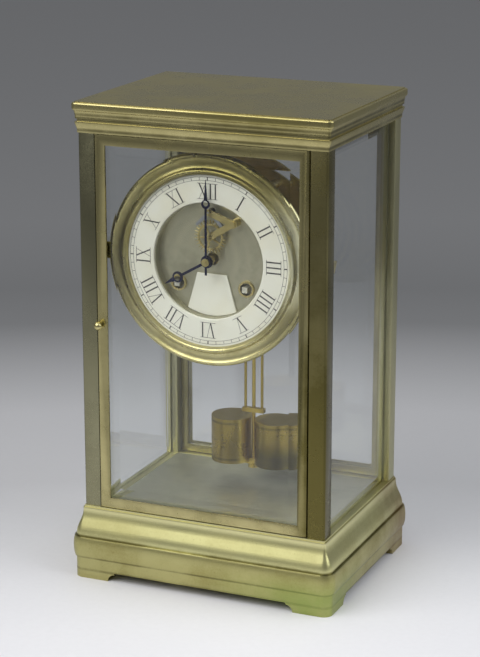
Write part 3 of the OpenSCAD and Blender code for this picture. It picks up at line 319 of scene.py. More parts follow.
class ClockDialSettings(bpy.types.PropertyGroup):
    """Sizes of what is painted on the enamel."""

    numeral_foot: FloatProperty(
        name="Numeral foot", description="Radius at the feet of the hour numerals",
        default=33.2 * MM, unit="LENGTH",
    )
    numeral_height: FloatProperty(
        name="Numeral height", description="Height of an hour numeral",
        default=8.4 * MM, unit="LENGTH",
    )
    track_inner: FloatProperty(
        name="Track inner radius", description="Inner line of the minute track",
        default=43.2 * MM, unit="LENGTH",
    )
    track_outer: FloatProperty(
        name="Track outer radius", description="Outer line of the minute track",
        default=45.0 * MM, unit="LENGTH",
    )
    paint: FloatProperty(
        name="Paint thickness", description="How far the black stands on the enamel",
        default=0.06 * MM, unit="LENGTH",
    )
    track_line: FloatProperty(
        name="Track line", description="Width of the two circles of the minute track",
        default=0.18 * MM, unit="LENGTH",
    )
    minute_width: FloatProperty(
        name="Minute mark", description="Width of a minute's mark", default=0.24 * MM, unit="LENGTH"
    )
    hour_width: FloatProperty(
        name="Hour mark", description="Width of every fifth mark", default=0.60 * MM, unit="LENGTH"
    )
    minutes: IntProperty(name="Minutes", description="Marks on the minute track", default=60)


class ClockStageSettings(bpy.types.PropertyGroup):
    """The studio round the clock."""

    lens: FloatProperty(
        name="Lens", description="Focal length in millimetres", default=115.5, min=20.0
    )
    pale: FloatVectorProperty(
        name="Pale floor", description="Floor under the clock",
        subtype="COLOR", default=as_light((232, 232, 236)),
    )
    far: FloatVectorProperty(
        name="Far floor", description="Floor and air well behind the clock",
        subtype="COLOR", default=as_light((112, 113, 115)),
    )
    level: FloatProperty(
        name="Light level", description="Strength of the sky over the clock", default=1.0, min=0.0
    )


# ---------------------------------------------------------------- finishes

# Heights of the creases that are painted darker, and how far the darkening reaches out of them
BASE_CREASES = (0.0050, 0.0122, 0.0243, 0.0399)
CORNICE_CREASES = (0.2501, 0.2559, 0.2583)
BOB_CREASES = (0.0559, 0.0771)
CREASE_WIDTH = 1.1 * MM

# How fine the rings are that a lathe leaves
LATHE_RINGS = 45.0

# Colours laid over the brass: the painted highlight on the base's top edge, the painted highlight
# on the right of the bezel, the painted shade on the bob's foot, and the colour of the winding
# squares
TOP_HIGHLIGHT = (0.95, 0.90, 0.50)
BEZEL_HIGHLIGHT = (0.95, 0.91, 0.62)
BOB_SHADE = (0.09, 0.08, 0.030)
SQUARE = (0.74, 0.72, 0.60)


def near(f, value, middle, full_within, none_beyond):
    """1 where the value lies close to the middle, fading to 0."""
    return 1.0 - f.step((value - middle).size(), full_within, none_beyond)


def patch(f, point, **fades):
    """1 inside a patch and 0 outside: each axis says where it starts and where it is full in mm."""
    whole = None
    for axis, (none, full_from) in fades.items():
        along = f.part(point, axis)
        if none < full_from:
            share = f.step(along, none * MM, full_from * MM)
        else:
            share = 1.0 - f.step(along, full_from * MM, none * MM)
        whole = share if whole is None else whole * share
    return whole


def mottled(f, cloud, least, low=0.30, high=0.60):
    """A share between least and 1 that follows the clouds."""
    return least + (1.0 - least) * f.step(cloud, low, high)


def grooves(f, value, places, width):
    """1 in the creases at those places along value, fading over width."""
    crease_darkening = None
    for place in places:
        crease = near(f, value, place, 0.25 * width, width)
        crease_darkening = crease if crease_darkening is None else crease_darkening.larger(crease)
    return crease_darkening


def low_green(f, point, cloud):
    """Where green has settled: low on the base, by its front right corner."""
    corner = patch(f, point, Z=(26, 5), X=(-10, 70), Y=(0, -52))
    return (corner * mottled(f, cloud, 0.35) * 0.80).clamped()


def rear_brown(f, point, cloud):
    """Brown tarnish on the base's rear right corner."""
    return (patch(f, point, X=(50, 72), Y=(10, 55)) * mottled(f, cloud, 0.4) * 0.70).clamped()


def painted_right_shade(f, point):
    """Painted shade on the front right corner of the frame, darkest towards the base."""
    corner = patch(f, point, X=(50, 62), Y=(10, -40))
    return (0.40 + 0.60 * patch(f, point, Z=(220, 90))) * corner


def painted_stile_shade(f, point):
    """Painted shade on the doors' right stiles, as on the posts, but less of it beside the dial,
    where the lighter stretch stands for the dial's painted reflection.
    """
    beside = patch(f, point, Z=(140, 158)) * patch(f, point, Z=(225, 205))
    return painted_right_shade(f, point) * (1.0 - 0.9 * beside)


def top_painted_highlight(f, point, cloud):
    """A painted highlight along the top edge of the base, broken up by clouds."""
    return patch(f, point, Z=(35.5, 38.5)) * 0.5 * mottled(f, cloud, 0.5, low=0.35)


def bob_painted_shade(f, point, cloud):
    """Painted shade on the right cylinder of the bob near its foot, broken up by clouds."""
    foot = patch(f, point, X=(0, 8), Z=(70, 58))
    return (foot * mottled(f, cloud, 0.55, high=0.65)).clamped()


def bob_gap_painted_light(f, point, cloud):
    """Painted light where the two cylinders face each other, which lightens the shade between them.
    """
    return 0.85 * near(f, f.part(point, "X"), 0.0, 3.0 * MM, 7.5 * MM)


def plate_painted_shadow(f, point, cloud):
    """A painted shadow on the floor plate under the bob."""
    across = near(f, f.part(point, "X"), 16 * MM, 8 * MM, 26 * MM)
    along = near(f, f.part(point, "Y"), 34 * MM, 4 * MM, 22 * MM)
    return (0.75 * across * along).clamped()


def bezel_painted_shade(f, point, cloud):
    """Painted shade on the bezel: most at its top and lower right, least at its foot and right
    side.
    """
    right, left = patch(f, point, X=(20, 44)), patch(f, point, X=(-30, -48))
    high, low = patch(f, point, Z=(30, 48)), patch(f, point, Z=(-12, -26))
    sides = 0.60 * patch(f, point, Z=(-45, -10)) * (1.0 - 0.85 * right * (1.0 - high))
    top = 0.30 * high * patch(f, point, X=(-20, 4))
    return (0.16 + sides * (1.0 - 0.45 * left) + top + 0.50 * right * low).clamped()


def bezel_painted_highlight(f, point, cloud):
    """A painted highlight on the right of the bezel, a little above its middle."""
    beside = near(f, f.part(point, "Z"), 6 * MM, 10 * MM, 34 * MM)
    return (0.85 * patch(f, point, X=(30, 46)) * beside).clamped()


def painted_front_shade(f, point):
    """Painted shade on the cornice's front, darker than its top and its sides, more so on the
    right.
    """
    return (0.32 + 0.33 * patch(f, point, X=(-40, 20))) * patch(f, point, Y=(-54, -60))


def painted_low_shade(f, point):
    """Painted shade on the band and the apron of the base, darker than the ogee over them."""
    return 0.50 * patch(f, point, Z=(26.0, 22.5))


def cast_brass(name, light, dark, gloss=0.22, creases=(), shade=None, stains_and_painted_light=(), scale=1.0):
    """Lacquered brass that has aged: soft clouds, fine specks and handling marks, darker in its
    creases, with painted shade where a shade mask is given.
    """
    f = Finish(name)
    point = f.place()
    cloud = f.noise(point, 26.0 * scale, detail=5.0, roughness=0.62)
    fleck = f.noise(point, 900.0 * scale, detail=2.0, roughness=0.6)
    rub = f.noise(f.place(scale=(40.0, 40.0, 700.0)), 1.0, detail=3.0, roughness=0.55)
    aged = f.step(cloud + 0.16 * (fleck - 0.5) + 0.10 * (rub - 0.5), 0.36, 0.78)
    share = aged * 0.42
    if shade is not None:
        share = (share + shade(f, point)).clamped()
    colour = f.mix(share, light, dark)
    colour = f.mix(f.step(fleck, 0.66, 0.80) * 0.25, colour, tone(dark, 0.30))
    # The creases are painted darker, patchy with the clouds
    if creases:
        crease_darkening = grooves(f, f.part(point, "Z"), creases, CREASE_WIDTH) * f.step(cloud, 0.25, 0.60)
        colour = f.mix(crease_darkening * 0.6, colour, tone(dark, 0.22))
    colour = f.with_stains_and_painted_light(colour, stains_and_painted_light, point, cloud)
    return f.surface(
        Base_Color=colour, Metallic=1.0, Roughness=gloss + 0.12 * aged + 0.07 * fleck,
        Normal=f.bump(0.3 * fleck + 0.4 * rub, 0.05 * MM, 0.30),
    )


def turned_brass(name, light, dark, centre, gloss=0.24, stains_and_painted_light=()):
    """Brass turned in a lathe, with its axis front to back: fine rings, light clouds, and stain
    colours and painted light and shade laid over.
    """
    f = Finish(name)
    point = f.place(shift=tuple(-c for c in centre))
    wave = f.node(
        "ShaderNodeTexWave",
        {"wave_type": "RINGS", "rings_direction": "Y", "wave_profile": "SIN"},
        {
            "Vector": point, "Scale": LATHE_RINGS, "Distortion": 1.2, "Detail": 2.0,
            "Detail Scale": 1.5,
        },
        output="Fac",
    )
    cloud = f.noise(point, 60.0, detail=4.0, roughness=0.55)
    aged = f.step(cloud, 0.42, 0.70)
    colour = f.mix(aged * 0.6, light, dark)
    colour = f.mix(wave * 0.12, colour, tone(dark, 0.6))
    colour = f.with_stains_and_painted_light(colour, stains_and_painted_light, point, cloud)
    return f.surface(
        Base_Color=colour, Metallic=1.0, Roughness=gloss + 0.14 * aged + 0.05 * wave,
        Normal=f.bump(wave, 0.03 * MM, 0.3),
    )


def plate_brass(name, light, dark, gloss=0.3, stains_and_painted_light=()):
    """Grained plate brass, as the movement is finished: straight grain, soft clouds, and stain
    colours and painted shade laid over.
    """
    f = Finish(name)
    grain = f.noise(f.place(scale=(60.0, 900.0, 1400.0)), 1.0, detail=3.0, roughness=0.6)
    point = f.place()
    cloud = f.noise(point, 55.0, detail=3.0, roughness=0.5)
    aged = f.step(cloud + 0.2 * (grain - 0.5), 0.42, 0.7)
    colour = f.mix(aged * 0.7, light, dark)
    colour = f.with_stains_and_painted_light(colour, stains_and_painted_light, point, cloud)
    return f.surface(
        Base_Color=colour, Metallic=1.0, Roughness=gloss + 0.12 * aged + 0.1 * grain,
        Normal=f.bump(grain, 0.03 * MM, 0.35),
    )


def grey_steel(name, colour, gloss=0.28, dark_share=0.45):
    """Polished steel with faint grain and grey stains."""
    f = Finish(name)
    cloud = f.noise(f.place(), 130.0, detail=3.0, roughness=0.5)
    grain = f.noise(f.place(scale=(1500.0, 90.0, 1500.0)), 1.0, detail=2.0, roughness=0.5)
    aged = f.step(cloud, 0.40, 0.72)
    shade = f.mix(aged * 0.6, colour, tone(colour, dark_share))
    return f.surface(
        Base_Color=shade, Metallic=1.0, Roughness=gloss + 0.15 * aged + 0.06 * grain,
        Normal=f.bump(grain, 0.02 * MM, 0.3),
    )


def white_enamel(name, colour):
    """Fired enamel: a white glassy face with faint warm clouds and pinholes."""
    f = Finish(name)
    point = f.place()
    cloud = f.noise(point, 55.0, detail=3.0, roughness=0.5)
    pin = f.step(f.noise(point, 1500.0, detail=1.0, roughness=0.5), 0.77, 0.82)
    warm = tuple(c * k for c, k in zip(colour, (0.93, 0.90, 0.80)))
    shade = f.mix(f.step(cloud, 0.42, 0.72) * 0.55, colour, warm)
    shade = f.mix(pin * 0.35, shade, tone(colour, 0.45))
    return f.surface(
        Base_Color=shade, Roughness=0.16 + 0.1 * cloud, Coat_Weight=0.35, Coat_Roughness=0.08,
        Normal=f.bump(cloud, 0.1 * MM, 0.15),
    )


def painted_black(name, colour):
    """The fired black of the numerals, slightly worn."""
    f = Finish(name)
    worn = f.noise(f.place(), 900.0, detail=3.0, roughness=0.6)
    pale = tuple(min(1.0, c) for c in tone(colour, 4.0))
    shade = f.mix(f.step(worn, 0.58, 0.75) * 0.4, colour, pale)
    return f.surface(
        Base_Color=shade, Roughness=0.3 + 0.2 * worn, Coat_Weight=0.2, Coat_Roughness=0.15
    )


def clear_glass(name):
    """Plate glass that lets the lamps through, with the faint waves of old panes."""
    f = Finish(name)
    wave = f.noise(f.place(), 18.0, detail=1.0, roughness=0.4)
    glass = f.node(
        "ShaderNodeBsdfPrincipled",
        sockets={
            "Base Color": f.mix(wave, (0.955, 0.975, 0.975), (0.98, 0.99, 0.985)),
            "Roughness": 0.0, "IOR": 1.47, "Transmission Weight": 1.0,
            "Normal": f.bump(wave, 0.4 * MM, 0.10),
        },
    )
    through = f.node("ShaderNodeBsdfTransparent", sockets={"Color": (0.93, 0.95, 0.95, 1.0)})
    shadow = f.node("ShaderNodeLightPath", output="Is Shadow Ray")
    return f.close(
        f.node("ShaderNodeMixShader", sockets={0: shadow, 1: glass, 2: through})
    )


def dress(material, *names):
    """Gives CAD nodes a material on each of their slots."""
    for name in names:
        piece = frame["nodes"][name]
        if not piece.material_slots:
            raise RuntimeError(f"{name} has no material slot")
        for slot in piece.material_slots:
            slot.material = material


# ---------------------------------------------------------------- modelling

# A CAD mesh's points closer than this are one, its faces within this angle are one face, and its
# edges up to this length stay sharp
SAME_POINT = 0.002 * MM
FLAT_ANGLE = math.radians(0.4)
SHORT_EDGE = 2.5 * MM

# Widths of the letters and of their strokes, as shares of a numeral's height, and how much of its
# width a V or an X fills
LETTER_WIDTHS = {"I": 0.34, "V": 0.74, "X": 0.74}
THICK, THIN, SERIF = 0.092, 0.026, 0.028
SPREAD = 0.62

# A leaning stroke is a little shorter and thinner than an upright one, and the serifs end a little
# inside the numeral's width
LEANING_LENGTH, LEANING_WIDTH = 0.985, 0.92
SERIF_GAP = 0.04


def alone():
    """Leaves nothing selected, with object mode on."""
    if bpy.context.object and bpy.context.object.mode != "OBJECT":
        bpy.ops.object.mode_set(mode="OBJECT")
    bpy.ops.object.select_all(action="DESELECT")


def select(*pieces):
    """Selects just those pieces, with the first one active."""
    alone()
    for piece in pieces:
        piece.select_set(True)
    bpy.context.view_layer.objects.active = pieces[0]


def apply_transform(*pieces):
    """Puts each piece's place, turn and size into its mesh."""
    select(*pieces)
    bpy.ops.object.transform_apply(location=True, rotation=True, scale=True)


def joined(pieces):
    """The pieces as one object, with their places in its mesh."""
    apply_transform(*pieces)
    bpy.ops.object.join()
    return bpy.context.object


def settle(piece, name, material, body):
    """Puts the piece's place into its mesh, and gives it its name, material and body."""
    apply_transform(piece)
    piece.name = name
    piece.data.name = name
    piece.data.materials.clear()
    piece.data.materials.append(material)
    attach(piece, body)


def mark_sharp_edges(data, angle):
    """Gives a bevel weight to each long edge whose two faces meet at more than that angle."""
    mesh = bmesh.new()
    mesh.from_mesh(data)
    weight = mesh.edges.layers.float.new("bevel_weight_edge")
    for edge in mesh.edges:
        if len(edge.link_faces) == 2 and edge.calc_length() > SHORT_EDGE:
            if edge.calc_face_angle(0.0) > angle:
                edge[weight] = 1.0
    mesh.to_mesh(data)
    mesh.free()


def refined(name, material, width=0.25, angle=32.0):
    """A finished copy of a CAD node: whole faces, smooth curves, edges rounded by width in mm."""
    source = frame["nodes"][name]
    piece = bpy.data.objects.new(name + "_finished", source.data.copy())
    bpy.context.scene.collection.objects.link(piece)
    select(piece)
    bpy.ops.mesh.customdata_custom_splitnormals_clear()
    bpy.ops.object.mode_set(mode="EDIT")
    bpy.ops.mesh.select_all(action="SELECT")
    bpy.ops.mesh.remove_doubles(threshold=SAME_POINT)
    bpy.ops.mesh.dissolve_limited(angle_limit=FLAT_ANGLE)
    bpy.ops.object.mode_set(mode="OBJECT")
    if width:
        mark_sharp_edges(piece.data, math.radians(angle))
        edges = piece.modifiers.new("edges", "BEVEL")
        edges.limit_method = "WEIGHT"
        edges.width = width * MM
        edges.segments = 2
        bpy.ops.object.modifier_apply(modifier=edges.name)
    bpy.ops.object.shade_smooth_by_angle(angle=math.radians(angle))
    settle(piece, name + "_finished", material, source["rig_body"])
    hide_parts(name)


def stroke(width, length, thickness, lean=0.0, x=0.0):
    """A flat painted stroke in the plane of the dial, its middle at x, leaning by that angle."""
    alone()
    bpy.ops.mesh.primitive_cube_add(size=1.0, location=(x, 0.0, 0.0), rotation=(0.0, lean, 0.0))
    made = bpy.context.object
    made.scale = (width, thickness, length)
    apply_transform(made)
    return made


def letter_strokes(letter, height, thickness, mid):
    """The strokes of I, V or X round the middle of its place: the first of V and X is thick."""
    thick, thin = THICK * height, THIN * height
    if letter == "I":
        return [stroke(thick, height, thickness, x=mid)]
    reach = LETTER_WIDTHS[letter] * height * SPREAD
    side = reach / 4 if letter == "V" else 0.0
    lean = math.atan2(reach / 2 if letter == "V" else reach, height)
    length = height / math.cos(lean) * LEANING_LENGTH
    return [
        stroke(thick * LEANING_WIDTH, length, thickness, lean=-lean, x=mid - side),
        stroke(thin, length, thickness, lean=lean, x=mid + side),
    ]


def numeral(letters, height, thickness):
    """A roman numeral of thick and thin strokes with serifs, upright, its middle at the origin."""
    serif = SERIF * height
    total = sum(LETTER_WIDTHS[c] for c in letters) * height
    parts = []
    x = -total / 2
    for letter in letters:
        wide = LETTER_WIDTHS[letter] * height
        parts += letter_strokes(letter, height, thickness, x + wide / 2)
        x += wide
    for z in (-1, 1):
        bar = stroke(total - SERIF_GAP * height, serif, thickness)
        bar.location.z = z * (height - serif) / 2
        parts.append(bar)
    return joined(parts)


def copied(piece, turn):
    """A copy of the piece with its own mesh, turned by that matrix."""
    made = piece.copy()
    made.data = piece.data.copy()
    bpy.context.scene.collection.objects.link(made)
    made.matrix_world = turn @ piece.matrix_world
    return made


# The hours from twelve round, and the points of a painted circle
HOURS = ("XII", "I", "II", "III", "IIII", "V", "VI", "VII", "VIII", "IX", "X", "XI")
CIRCLE_POINTS = 180


# ---------------------------------------------------------------- operators

# The camera was fitted to the corners of the case in the photograph
CAMERA_PLACE = (0.4404, -1.0259, 0.4456)
CAMERA_DOWN = math.radians(15.54)
CAMERA_ROUND = math.radians(23.31)
CAMERA_SENSOR = 36.0

# The painted pool of light on the floor: how far in front of the clock its middle lies, how much it
# is stretched across the view, and its share of pale colour by the distance from its middle in
# metres
PATCH_AHEAD = 0.12
PATCH_STRETCH = (0.62, 1.0, 1.0)
PATCH_SHARES = (
    (0.00, 1.00), (0.06, 0.95), (0.12, 0.86), (0.18, 0.66), (0.26, 0.45), (0.40, 0.37),
    (0.52, 0.17), (0.63, -0.02), (0.74, -0.05), (0.88, -0.02), (1.00, 0.00),
)
FLOOR_RADIUS = 14.0
FIBRE_GREY = (0.2, 0.2, 0.21)

# The soft lamps: name, place, size, power in watts and colour
LAMP_TARGET = (0.0, 0.0, 0.12)
LAMPS = (
    ("key", (-0.75, -1.25, 1.45), 1.7, 25.0, (1.0, 0.985, 0.96)),
    ("side", (1.5, 0.1, 1.1), 1.4, 13.0, (0.96, 0.98, 1.0)),
)

# The sky: grey up to SKY_EDGE, then lighter
SKY_EDGE, SKY_MIDDLE = 0.46, (0.72, (0.66, 0.67, 0.69))
SKY_TOP = (1.05, 1.05, 1.05)


class CLOCK_OT_stage(bpy.types.Operator):
    """Sets the camera, the floor, the sky and the soft lamps"""

    bl_idname = "clock.stage"
    bl_label = "Set the studio"

    def execute(self, context):
        settings = context.scene.clock_stage
        alone()
        bpy.ops.object.camera_add(
            location=CAMERA_PLACE, rotation=(math.pi / 2 - CAMERA_DOWN, 0.0, CAMERA_ROUND)
        )
        camera = context.object
        camera.name = "camera"
        camera.data.lens = settings.lens
        camera.data.sensor_width = CAMERA_SENSOR
        camera.data.clip_start, camera.data.clip_end = 0.05, 60.0
        context.scene.camera = camera

        alone()
        bpy.ops.mesh.primitive_circle_add(vertices=96, radius=FLOOR_RADIUS, fill_type="TRIFAN")
        floor = context.object
        floor.name = "floor"
        floor.data.materials.append(self.floor_paint(settings))

        for lamp in LAMPS:
            self.lamp(*lamp)
        self.sky(settings)
        context.scene.view_settings.view_transform = "Standard"
        return {"FINISHED"}

    @staticmethod
    def floor_paint(settings):
        """A painted pool of light: pale under the clock and grey further off, as on a lit sheet of
        paper in a dark room.
        """
        f = Finish("floor_painted_light")
        facing = f.place(turn=(0.0, 0.0, -CAMERA_ROUND), shift=(0.0, PATCH_AHEAD, 0.0))
        point = f.node(
            "ShaderNodeMapping", sockets={"Vector": facing, "Scale": PATCH_STRETCH}
        )
        away = f.node("ShaderNodeVectorMath", {"operation": "LENGTH"}, {0: point}, output="Value")
        stops = [
            (place, tuple(p * share + q * (1 - share) for p, q in zip(settings.pale, settings.far)))
            for place, share in PATCH_SHARES
        ]
        colour = f.node("ShaderNodeValToRGB", {"stops": stops}, {"Fac": away})
        fibre = f.noise(f.place(), 260.0, detail=3.0, roughness=0.6)
        shade = f.mix(f.step(fibre, 0.3, 0.8) * 0.03, colour, FIBRE_GREY)
        return f.surface(
            Base_Color=shade, Roughness=0.7, Normal=f.bump(fibre, 0.2 * MM, 0.1)
        )

    @staticmethod
    def lamp(name, place, size, power, colour):
        """A square lamp that faces the middle of the clock."""
        alone()
        bpy.ops.object.light_add(type="AREA", location=place)
        made = bpy.context.object
        made.name = name
        made.data.shape = "SQUARE"
        made.data.size = size
        made.data.energy = power
        made.data.color = colour
        way = Vector(LAMP_TARGET) - Vector(place)
        made.rotation_euler = way.to_track_quat("-Z", "Y").to_euler()

    @staticmethod
    def sky(settings):
        """Grey near the horizon and light overhead."""
        world = bpy.data.worlds.new("studio_sky")
        bpy.context.scene.world = world
        world.use_nodes = True
        tree = world.node_tree
        tree.nodes.clear()
        point = tree.nodes.new("ShaderNodeTexCoord")
        part = tree.nodes.new("ShaderNodeSeparateXYZ")
        ramp = tree.nodes.new("ShaderNodeValToRGB")
        light = tree.nodes.new("ShaderNodeBackground")
        out = tree.nodes.new("ShaderNodeOutputWorld")
        far = tuple(settings.far)
        Finish.set_stops(
            ramp.color_ramp, [(0.0, far), (SKY_EDGE, far), SKY_MIDDLE, (1.0, SKY_TOP)]
        )
        light.inputs["Strength"].default_value = settings.level
        tree.links.new(point.outputs["Generated"], part.inputs[0])
        tree.links.new(part.outputs[2], ramp.inputs[0])
        tree.links.new(ramp.outputs[0], light.inputs["Color"])
        tree.links.new(light.outputs[0], out.inputs["Surface"])


class CLOCK_OT_case(bpy.types.Operator):
    """Finishes the brass case: base, feet, posts, cornice, doors and floor plate"""

    bl_idname = "clock.case"
    bl_label = "Finish the case"

    def execute(self, context):
        s = context.scene.clock_finish
        brass, tarnish = tuple(s.brass), tuple(s.tarnish)
        # Over the base: a painted highlight along its top edge, a green stain low at its front
        # right corner and a brown stain at its rear right corner; its band and apron also carry
        # painted shade
        stains_and_painted_light = (
            (top_painted_highlight, TOP_HIGHLIGHT), (low_green, tuple(s.verdigris)), (rear_brown, tuple(s.brown)),
        )
        base = cast_brass(
            "base_brass", tone(s.base, 0.96), tarnish, gloss=0.27, creases=BASE_CREASES,
            shade=painted_low_shade, stains_and_painted_light=stains_and_painted_light,
        )
        refined("base_moulding", base, width=0.3)
        refined("bracket_feet", base, width=0.3)
        # Painted shade on the front of the cornice and the top slab
        top = cast_brass(
            "cornice_brass", tone(brass, 1.03), tone(tarnish, 0.88), gloss=0.22,
            creases=CORNICE_CREASES, shade=painted_front_shade,
        )
        refined("cornice", top, width=0.2)
        refined("top_slab", top, width=0.3)
        # Painted shade on the front right post and the case brackets, on the frame's front right
        # corner
        posts = cast_brass(
            "post_brass", tone(brass, 0.80), tone(tarnish, 0.42), gloss=0.16, shade=painted_right_shade
        )
        left_post = cast_brass(
            "left_post_brass", tone(s.worn, 0.70), tone(s.worn, 0.44), gloss=0.18
        )
        refined("post_front_left", left_post)
        refined("post_front_right", posts)
        # The rear posts are a lighter copy of the pale brass: painted light
        rear_posts = cast_brass(
            "rear_post_lit_brass", tone(s.worn, 1.22), tone(s.worn, 0.90), gloss=0.32
        )
        refined("post_rear_left", rear_posts)
        refined("post_rear_right", rear_posts)
        # Painted shade on the doors' right stiles
        door = cast_brass(
            "door_brass", tone(brass, 0.80), tone(tarnish, 0.50), gloss=0.17,
            shade=painted_stile_shade, scale=1.4,
        )
        refined("front_door_frame", door)
        # The rear door is a darker copy of the brass: painted shade
        rear_door = cast_brass(
            "rear_door_shaded_brass", tone(brass, 0.52), tone(tarnish, 0.50), gloss=0.30, scale=1.4
        )
        refined("rear_door_frame", rear_door)
        knobs = cast_brass("knob_brass", brass, tarnish, gloss=0.18, scale=2.5)
        dress(knobs, "front_latch", "rear_latch", "door_pivots")
        refined("case_bracket_left", posts, width=0.2)
        refined("case_bracket_right", posts, width=0.2)
        # The floor plate carries a painted shadow under the bob
        ground = plate_brass(
            "floor_brass", tuple(s.ground), tone(s.ground, 0.78), gloss=0.42,
            stains_and_painted_light=((plate_painted_shadow, tone(s.ground, 0.30)),),
        )
        refined("floor_plate", ground, width=0.15)
        bolts = grey_steel("bolt_steel", tuple(s.steel), gloss=0.35)
        dress(bolts, "frame_bolts", "bracket_screws")
        return {"FINISHED"}


class CLOCK_OT_movement(bpy.types.Operator):
    """Finishes the movement, the gong and the pendulum"""

    bl_idname = "clock.movement"
    bl_label = "Finish the movement"

    def execute(self, context):
        s = context.scene.clock_finish
        plate, tarnish = tuple(s.plate), tuple(s.tarnish)
        dress(
            plate_brass("movement_plate", plate, tarnish),
            "front_plate", "back_plate", "escape_potence", "suspension_cock", "gong_post",
        )
        dress(
            turned_brass("wheel_brass", plate, tarnish, DIAL_CENTRE),
            "going_barrel", "strike_barrel", "intermediate_wheel", "centre_wheel", "third_wheel",
            "pin_wheel", "warning_wheel", "escape_wheel", "minute_wheel", "hour_wheel", "fly",
            "pillars", "hand_collet", "escapement_cock", "winding_collars",
        )
        squares = grey_steel("square_steel", SQUARE, gloss=0.42, dark_share=0.8)
        dress(squares, "going_winder", "strike_winder")
        dress(
            grey_steel("arbor_steel", tuple(s.steel)),
            "going_click", "strike_click", "pallets", "crutch", "cannon_pinion", "hammer",
        )
        dark_steel = tuple(0.30 * c + 0.02 for c in s.steel)
        dress(grey_steel("gong_steel", dark_steel, gloss=0.26), "gong")
        dress(
            grey_steel("spring_steel", tuple(s.blued), gloss=0.24),
            "suspension_spring", "hour_hand", "minute_hand",
        )
        # The bob: painted light between its two cylinders and painted shade at the foot of the
        # right one
        bob = cast_brass(
            "bob_brass", tuple(s.gilt), tone(s.gilt, 0.62), gloss=0.24, creases=BOB_CREASES,
            stains_and_painted_light=((bob_gap_painted_light, tone(s.gilt, 1.7)), (bob_painted_shade, BOB_SHADE)), scale=1.6,
        )
        refined("pendulum_bob", bob, width=0.2)
        refined("pendulum_rod", bob, width=0.0)
        return {"FINISHED"}


class CLOCK_OT_dial(bpy.types.Operator):
    """Finishes the bezel, the enamel ring and the dial's centre"""

    bl_idname = "clock.dial"
    bl_label = "Finish the dial"

    def execute(self, context):
        s = context.scene.clock_finish
        enamel = white_enamel("enamel", tuple(s.enamel))
        refined("chapter_ring", enamel, width=0.0, angle=40.0)
        refined("dial_cartouche", enamel, width=0.3, angle=40.0)
        # The bezel carries painted shade and a painted highlight over its turned brass
        bright = turned_brass(
            "bezel_brass", tone(s.brass, 1.18), tone(s.tarnish, 1.25), DIAL_CENTRE, gloss=0.25,
            stains_and_painted_light=((bezel_painted_shade, tone(s.tarnish, 0.8)), (bezel_painted_highlight, BEZEL_HIGHLIGHT)),
        )
        refined("bezel", bright, width=0.0, angle=40.0)
        grey = turned_brass(
            "dial_brass", tuple(s.dial), tone(s.dial, 0.55), DIAL_CENTRE, gloss=0.34
        )
        refined("dial_plate", grey, width=0.15)
        return {"FINISHED"}


class CLOCK_OT_panes(bpy.types.Operator):
    """Finishes the four panes"""

    bl_idname = "clock.panes"
    bl_label = "Finish the panes"

    def execute(self, context):
        dress(
            clear_glass("clear_glass"),
            "front_door_glass", "rear_door_glass", "side_glass_left", "side_glass_right",
        )
        return {"FINISHED"}


class CLOCK_OT_numerals(bpy.types.Operator):
    """Paints the twelve hour numerals on the enamel ring, feet to the centre"""

    bl_idname = "clock.numerals"
    bl_label = "Paint the numerals"

    def execute(self, context):
        s = context.scene.clock_dial
        ink = painted_black("numeral_black", tuple(context.scene.clock_finish.ink))
        radius = s.numeral_foot + s.numeral_height / 2
        made = []
        for hour, letters in enumerate(HOURS):
            piece = numeral(letters, s.numeral_height, 2 * s.paint)
            turn = Matrix.Rotation(2 * math.pi * hour / len(HOURS), 4, "Y")
            piece.matrix_world = (
                Matrix.Translation(DIAL_CENTRE) @ turn @ Matrix.Translation((0.0, 0.0, radius))
            )
            made.append(piece)
        settle(joined(made), "hour_numerals", ink, "case")
        return {"FINISHED"}


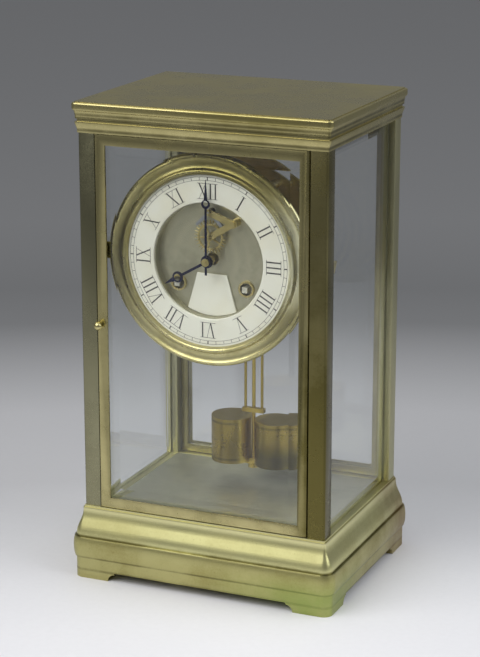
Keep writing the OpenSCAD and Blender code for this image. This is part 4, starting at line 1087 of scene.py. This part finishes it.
class CLOCK_OT_minute_track(bpy.types.Operator):
    """Paints the minute track round the numerals"""

    bl_idname = "clock.minute_track"
    bl_label = "Paint the minute track"

    def execute(self, context):
        s = context.scene.clock_dial
        ink = bpy.data.materials["numeral_black"]
        thickness = 2 * s.paint
        radii = (s.track_inner, s.track_outer)
        made = [self.circle_line(radius, s.track_line, thickness) for radius in radii]
        middle = (s.track_inner + s.track_outer) / 2
        mark, bold = (
            stroke(width, s.track_outer - s.track_inner, thickness)
            for width in (s.minute_width, s.hour_width)
        )
        for minute in range(s.minutes):
            turn = Matrix.Rotation(2 * math.pi * minute / s.minutes, 4, "Y")
            start = bold if minute % 5 == 0 else mark
            made.append(copied(start, turn @ Matrix.Translation((0.0, 0.0, middle))))
        for start in (mark, bold):
            bpy.data.objects.remove(start)
        track = joined(made)
        track.location = DIAL_CENTRE
        settle(track, "minute_track", ink, "case")
        return {"FINISHED"}

    @staticmethod
    def circle_line(radius, line, thickness):
        """A painted circle: a ring of that line's width, facing the front."""
        corners = ((-1, -1), (1, -1), (1, 1), (-1, 1))
        sides = len(corners)
        points = []
        for step in range(CIRCLE_POINTS):
            angle = 2 * math.pi * step / CIRCLE_POINTS
            for out, back in corners:
                reach = radius + out * line / 2
                points.append(
                    (reach * math.sin(angle), back * thickness / 2, reach * math.cos(angle))
                )
        faces = []
        for first in range(0, len(points), sides):
            following = (first + sides) % len(points)
            for side in range(sides):
                other = (side + 1) % sides
                faces.append((first + side, following + side, following + other, first + other))
        data = bpy.data.meshes.new("circle_line")
        data.from_pydata(points, [], faces)
        ring = bpy.data.objects.new("circle_line", data)
        bpy.context.scene.collection.objects.link(ring)
        return ring


class CLOCK_PT_panel(bpy.types.Panel):
    """The clock's steps in the sidebar"""

    bl_idname = "CLOCK_PT_panel"
    bl_label = "Four glass clock"
    bl_space_type = "VIEW_3D"
    bl_region_type = "UI"
    bl_category = "Clock"

    def draw(self, context):
        for step in STEPS:
            self.layout.operator(step.bl_idname)
        for group in ("clock_finish", "clock_dial", "clock_stage"):
            settings = getattr(context.scene, group)
            for name in settings.__annotations__:
                self.layout.prop(settings, name)


# What main() runs, in this order, and the groups of settings by their names in the scene
STEPS = (
    CLOCK_OT_stage,
    CLOCK_OT_case,
    CLOCK_OT_movement,
    CLOCK_OT_dial,
    CLOCK_OT_panes,
    CLOCK_OT_numerals,
    CLOCK_OT_minute_track,
)
GROUPS = {
    "clock_finish": ClockFinishSettings,
    "clock_dial": ClockDialSettings,
    "clock_stage": ClockStageSettings,
}


def register():
    for kind in (*GROUPS.values(), *STEPS, CLOCK_PT_panel):
        bpy.utils.register_class(kind)
    for name, kind in GROUPS.items():
        setattr(bpy.types.Scene, name, PointerProperty(type=kind))


def unregister():
    for name in GROUPS:
        delattr(bpy.types.Scene, name)
    for kind in reversed((*GROUPS.values(), *STEPS, CLOCK_PT_panel)):
        bpy.utils.unregister_class(kind)


def main():
    """Registers the add-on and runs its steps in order."""
    register()
    for step in STEPS:
        group, name = step.bl_idname.split(".")
        getattr(getattr(bpy.ops, group), name)()


if __name__ == "__main__":
    main()
